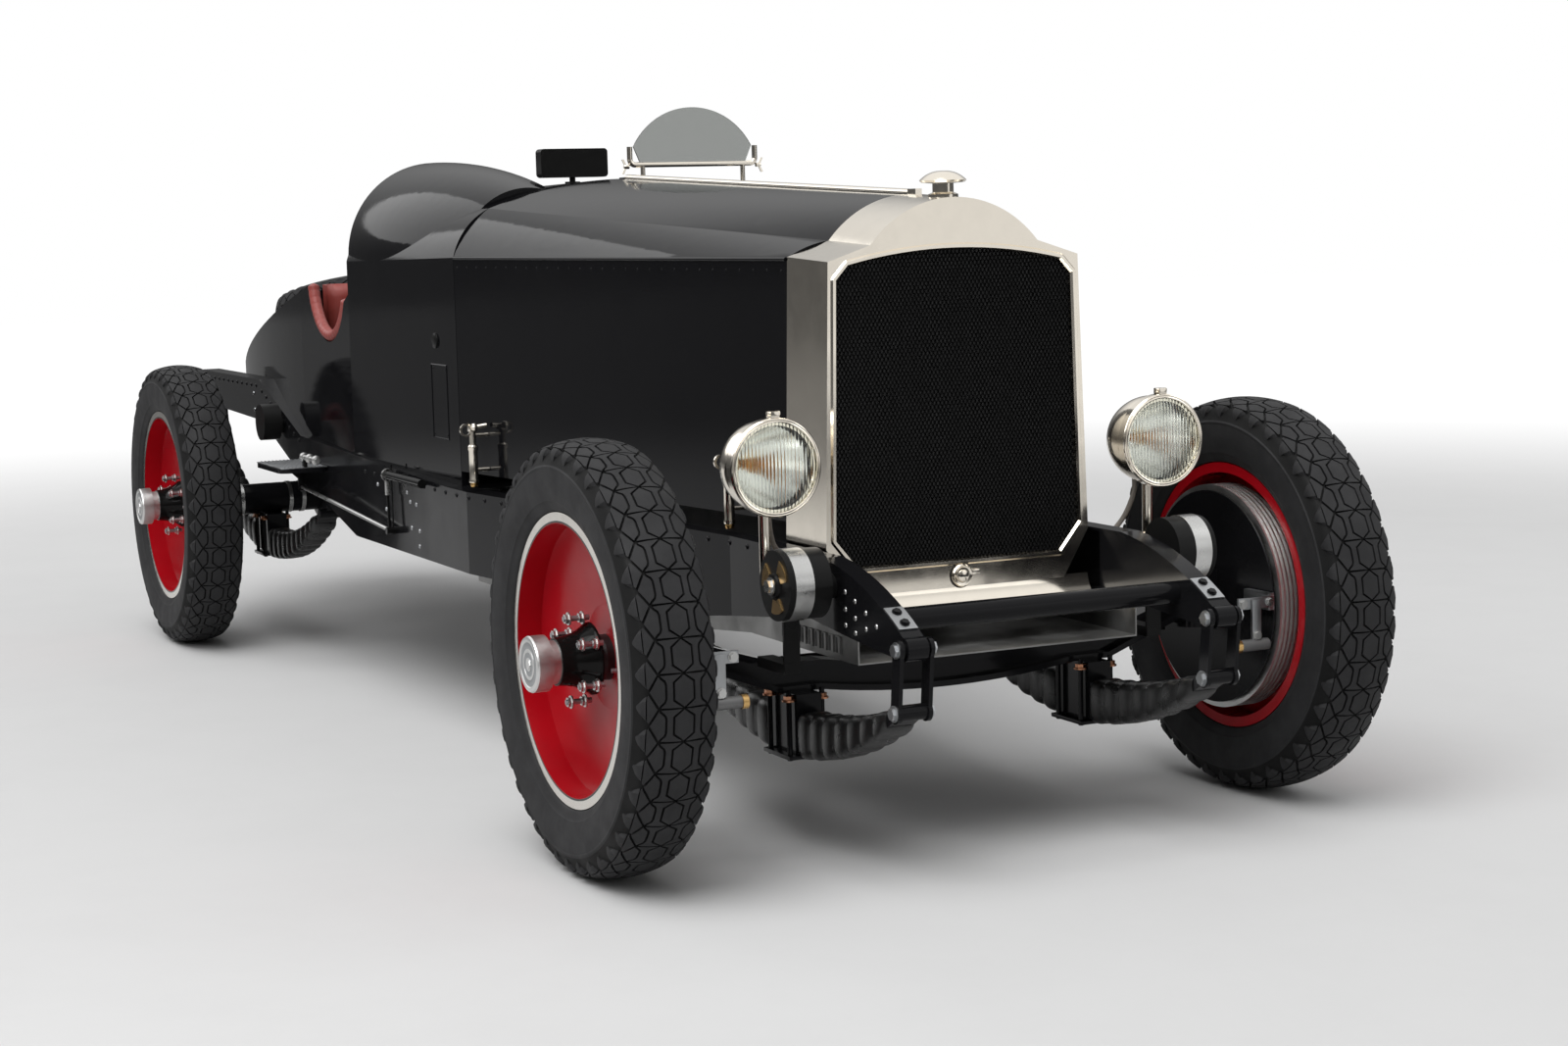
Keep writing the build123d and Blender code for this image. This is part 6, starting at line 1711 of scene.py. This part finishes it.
# Seats: the pleats of the pads, and the rolls round the elbow cut-outs
PLEATS = 13
PLEAT_DEPTH = 0.009
PAD_DROP = 0.030
ROLL_RADIUS = 0.0165
ROLL_STEPS = 160
ELBOW = ((-0.485, 1.040), (-0.615, 0.930), (-0.845, 1.082))  # (x, z) of the front, the foot and the rear


def pleat_surface(across, length):
    """Height over a pleated pad at shares of its width and length."""
    groove = abs(math.sin(math.pi * across * PLEATS)) ** 0.45
    edge = min(across, 1 - across, length, 1 - length)
    shoulder = math.sqrt(min(edge / 0.10, 1))
    border = 1.0 if 0.05 < length < 0.95 else 0.0
    return (PAD_DROP - 0.001) * shoulder - PLEAT_DEPTH * (1 - groove) * border


class SPEEDSTER_OT_seats(bpy.types.Operator):
    """Pleated leather cushion and backrest in place of the plain ones"""

    bl_idname = "speedster.seats"
    bl_label = "Seats"

    def execute(self, context):
        self.pad("seat_cushion", "pleated_cushion", True)
        self.pad("seat_back", "pleated_back", False)
        self.rolls()
        return {"FINISHED"}

    def pad(self, node, name, top):
        """A crowned pad with sewn channels whose sides pull in, in the space of a plain one."""
        low, high = node_box(node)
        size = high - low
        base = (size.z if top else size.x) - PAD_DROP
        bm = bmesh.new()
        columns = PLEATS * 8
        rows = 20
        grid = []
        for i in range(columns + 1):
            line = []
            for j in range(rows + 1):
                a, b = i / columns, j / rows
                height = base + pleat_surface(a, b)
                y = low.y + size.y * a
                if top:
                    line.append(bm.verts.new((low.x + size.x * b, y, low.z + height)))
                else:
                    line.append(bm.verts.new((low.x + height, y, low.z + size.z * b)))
            grid.append(line)
        bridge(bm, grid, closed_round=False)
        rim = [line[0] for line in grid] + grid[-1][1:]
        rim += [line[-1] for line in reversed(grid[:-1])] + grid[0][-2:0:-1]
        rings = [rim]
        centre = (low + high) / 2
        flat = Vector((1, 1, 0)) if top else Vector((0, 1, 1))
        for share, pull in ((0.94, 0.001), (0.75, 0.006), (0.40, 0.011), (0.08, 0.005), (0.0, 0.011)):
            ring = []
            for vert in rim:
                point = vert.co + ((centre - vert.co) * flat).normalized() * pull
                if top:
                    point.z = low.z + base * share
                else:
                    point.x = low.x + base * share
                ring.append(bm.verts.new(point))
            rings.append(ring)
        bridge(bm, rings)
        bm.faces.new(rings[-1])
        piece = new_piece(name, bm, "leather", "chassis", 60)
        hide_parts(node)

    def rolls(self):
        """Leather rolls with gathers and a piped seam along the elbow cut-outs."""
        high = node_box("cockpit_roll")[1]
        centre, reach = circle_through(*ELBOW)
        reach -= ROLL_RADIUS + 0.0003
        start, end = [math.atan2(z - centre[1], x - centre[0]) for x, z in (ELBOW[0], ELBOW[2])]
        if end > start:
            end -= 2 * math.pi
        turn = math.radians(150)
        pads = bmesh.new()
        piping = bmesh.new()
        for side in BOTH:
            y = side * (high.y - ROLL_RADIUS)
            rings = []
            seam = []
            for k in range(ROLL_STEPS + 1):
                angle = start + (end - start) * k / ROLL_STEPS
                arm = Vector((math.cos(angle), 0, math.sin(angle)))
                place = Vector((centre[0], y, centre[1])) + arm * reach
                gather = 0.0009 * abs(math.sin(math.pi * k / 8)) ** 0.5
                cap = min(1.0, math.sqrt(max(min(k, ROLL_STEPS - k), 0.15) / 3))
                radius = (ROLL_RADIUS - 0.0011 + gather) * cap
                rings.append(round_ring(pads, place, arm, Y_AXIS, radius, 24))
                if 3 <= k <= ROLL_STEPS - 3 and k % 2:
                    aside = arm * math.cos(turn) + Y_AXIS * side * math.sin(turn)
                    seam.append(place + aside * (ROLL_RADIUS - 0.0013))
            close_ends(pads, rings)
            add_tube(piping, seam, 0.0012, 8)
        piece = new_piece("stitched_rolls", pads, "leather", "chassis", 60)
        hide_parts("cockpit_roll")
        new_piece("roll_piping", piping, "leather", "chassis", 60)


def signed_area(first, middle, last):
    """Area of a triangle of (x, z) points, with a sign for its sense of turn."""
    (x1, z1), (x2, z2), (x3, z3) = first, middle, last
    return (x1 * (z2 - z3) + x2 * (z3 - z1) + x3 * (z1 - z2)) / 2


def circle_through(first, middle, last):
    """Centre and radius of the circle through three points of a plane."""
    (x1, z1), (x2, z2), (x3, z3) = first, middle, last
    area = 4 * signed_area(first, middle, last)
    s1, s2, s3 = x1 * x1 + z1 * z1, x2 * x2 + z2 * z2, x3 * x3 + z3 * z3
    cx = (s1 * (z2 - z3) + s2 * (z3 - z1) + s3 * (z1 - z2)) / area
    cz = (s1 * (x3 - x2) + s2 * (x1 - x3) + s3 * (x2 - x1)) / area
    return (cx, cz), math.hypot(x1 - cx, z1 - cz)


# Studio
CAMERA_PLACE = Vector((6.6877, -2.5947, 1.2575))
CAMERA_YAW = math.radians(25.424)
CAMERA_PITCH = math.radians(6.633)
CAMERA_ROLL = math.radians(-1.449)
FLOOR_HALF = 30
FADE_START = 4.2  # where the floor begins to fade into the background
FADE_END = 10.0
GLOSSY_GLOW = 0.14  # share of the background's white that polished parts see in the floor
HORIZON = 0.09  # grey of the surroundings at eye level, as polished parts see it


class SPEEDSTER_OT_stage(bpy.types.Operator):
    """Lay the floor, light the car softly and set the camera"""

    bl_idname = "speedster.stage"
    bl_label = "Stage"

    def execute(self, context):
        settings = context.scene.speedster_stage
        floor = plain_floor()
        half_light = settings.light * 0.5
        lights = [
            area_lamp("key", (3.4, -4.6, 5.0), (0.4, 0, 0.5), 5.5, settings.light),
            area_lamp("side", (3.5, 6.5, 4.0), (0.5, 0, 0.6), 5.0, half_light),
            area_lamp("back", (-6.5, -3.5, 4.6), (-0.5, 0, 0.6), 5.0, half_light),
            area_lamp("card", (8.5, 4.2, 1.9), (2.0, 0, 0.9), 4.0, 29),
            soft_sun("sun", (-0.25, 0.35, -1.0), 1.6),
        ]
        set_world(context.scene, settings.sky)
        camera = set_camera(context.scene, settings.lens)
        context.scene.view_settings.view_transform = "Standard"
        return {"FINISHED"}


def plain_floor():
    """Pale floor that fades into the white background away from the car."""
    mesh = bpy.data.meshes.new("floor")
    corners = ((-1, -1), (1, -1), (1, 1), (-1, 1))
    mesh.from_pydata([(x * FLOOR_HALF, y * FLOOR_HALF, -0.0005) for x, y in corners], [], [(0, 1, 2, 3)])
    tone = paint().floor
    finish = Finish("Studio floor", tone, roughness=0.62)
    finish.set(Specular_IOR_Level=0.1, Emission_Color=(1, 1, 1, 1))
    near = finish.worn(tone, colour(tone, 0.93), 3.0, 0.4)
    reach = finish.node("ShaderNodeVectorMath", {0: finish.where}, operation="LENGTH").outputs["Value"]
    fade = {"Value": reach, "From Min": FADE_START, "From Max": FADE_END}
    far = finish.node("ShaderNodeMapRange", fade, interpolation_type="SMOOTHSTEP").outputs[0]
    finish.feed(finish.mix(far, near, (0.0, 0.0, 0.0, 1)), "Base Color")
    path = finish.node("ShaderNodeLightPath").outputs
    clear = finish.math("MAXIMUM", path["Is Camera Ray"], path["Is Transmission Ray"])
    glossy = finish.math("MULTIPLY", path["Is Glossy Ray"], GLOSSY_GLOW)
    finish.feed(finish.math("MULTIPLY", far, finish.math("MAXIMUM", clear, glossy)), "Emission Strength")
    mesh.materials.append(finish.material)
    return place_in_scene(bpy.data.objects.new("floor", mesh))


def area_lamp(name, place, target, size, power):
    """Round soft lamp at a place, aimed at a target."""
    data = bpy.data.lights.new(name, "AREA")
    data.shape = "DISK"
    data.size = size
    data.energy = power
    lamp = bpy.data.objects.new(name, data)
    lamp.location = place
    lamp.rotation_euler = (Vector(target) - Vector(place)).to_track_quat("-Z", "Y").to_euler()
    return place_in_scene(lamp)


def soft_sun(name, direction, strength):
    """Even light over the whole floor with broad shadows."""
    data = bpy.data.lights.new(name, "SUN")
    data.energy = strength
    data.angle = math.radians(50)
    lamp = bpy.data.objects.new(name, data)
    lamp.rotation_euler = Vector(direction).to_track_quat("-Z", "Y").to_euler()
    return place_in_scene(lamp)


def set_world(scene, strength):
    """White to the camera, a gentle grey gradient to everything that reflects it."""
    world = bpy.data.worlds.new("Studio")
    scene.world = world
    world.use_nodes = True
    tree = world.node_tree
    path = add_node(tree, "ShaderNodeLightPath").outputs
    clear = calculate(tree, "MAXIMUM", path["Is Camera Ray"], path["Is Transmission Ray"])
    seen = calculate(tree, "MAXIMUM", clear, path["Is Glossy Ray"])
    where = add_node(tree, "ShaderNodeTexCoord").outputs["Generated"]
    height = add_node(tree, "ShaderNodeSeparateXYZ", {0: where}).outputs["Z"]
    ramp = add_node(tree, "ShaderNodeMapRange", {
        "Value": height, "From Min": 0.0, "From Max": 0.7, "To Min": HORIZON, "To Max": 1.0},
        interpolation_type="SMOOTHSTEP").outputs[0]
    back = tree.nodes["Background"]
    back.inputs["Strength"].default_value = strength
    tree.links.new(ramp, back.inputs["Color"])
    white = add_node(tree, "ShaderNodeBackground", {"Color": calculate(tree, "MAXIMUM", clear, ramp)})
    blend = add_node(tree, "ShaderNodeMixShader", {0: seen, 1: back.outputs[0], 2: white.outputs[0]})
    tree.links.new(blend.outputs[0], tree.nodes["World Output"].inputs["Surface"])


def set_camera(scene, lens):
    """Camera at the photograph's viewing angle."""
    data = bpy.data.cameras.new("camera")
    data.lens = lens
    data.sensor_width = 36
    camera = bpy.data.objects.new("camera", data)
    forward = Vector((
        -math.cos(CAMERA_YAW) * math.cos(CAMERA_PITCH),
        math.sin(CAMERA_YAW) * math.cos(CAMERA_PITCH),
        -math.sin(CAMERA_PITCH)))
    aim = forward.to_track_quat("-Z", "Y").to_matrix().to_4x4()
    roll = Matrix.Rotation(CAMERA_ROLL, 4, "Z")
    camera.matrix_world = Matrix.Translation(CAMERA_PLACE) @ aim @ roll
    scene.camera = place_in_scene(camera)
    return camera


# Add-on
OPERATORS = (
    SPEEDSTER_OT_finishes,
    SPEEDSTER_OT_tyres,
    SPEEDSTER_OT_wheels,
    SPEEDSTER_OT_radiator,
    SPEEDSTER_OT_hood,
    SPEEDSTER_OT_springs,
    SPEEDSTER_OT_frame,
    SPEEDSTER_OT_side_gear,
    SPEEDSTER_OT_brakes,
    SPEEDSTER_OT_lamps,
    SPEEDSTER_OT_screen,
    SPEEDSTER_OT_body,
    SPEEDSTER_OT_cockpit,
    SPEEDSTER_OT_seats,
    SPEEDSTER_OT_stage,
)


class SPEEDSTER_PT_panel(bpy.types.Panel):
    """Buttons and settings of the speedster"""

    bl_idname = "SPEEDSTER_PT_panel"
    bl_label = "Vintage Speedster"
    bl_space_type = "VIEW_3D"
    bl_region_type = "UI"
    bl_category = "Speedster"

    def draw(self, context):
        column = self.layout.column()
        for kind in OPERATORS:
            column.operator(kind.bl_idname)
        for name, kind in SETTINGS:
            for key in kind.__annotations__:
                column.prop(getattr(context.scene, name), key)


CLASSES = (*[kind for name, kind in SETTINGS], *OPERATORS, SPEEDSTER_PT_panel)


def register():
    """Add the classes and settings to Blender."""
    for kind in CLASSES:
        bpy.utils.register_class(kind)
    for name, kind in SETTINGS:
        setattr(bpy.types.Scene, name, bpy.props.PointerProperty(type=kind))


def unregister():
    """Take them out again."""
    for name, kind in reversed(SETTINGS):
        delattr(bpy.types.Scene, name)
    for kind in reversed(CLASSES):
        bpy.utils.unregister_class(kind)


def main():
    """Run every step in order."""
    register()
    for kind in OPERATORS:
        area, name = kind.bl_idname.split(".")
        getattr(getattr(bpy.ops, area), name)()


if __name__ == "__main__":
    main()
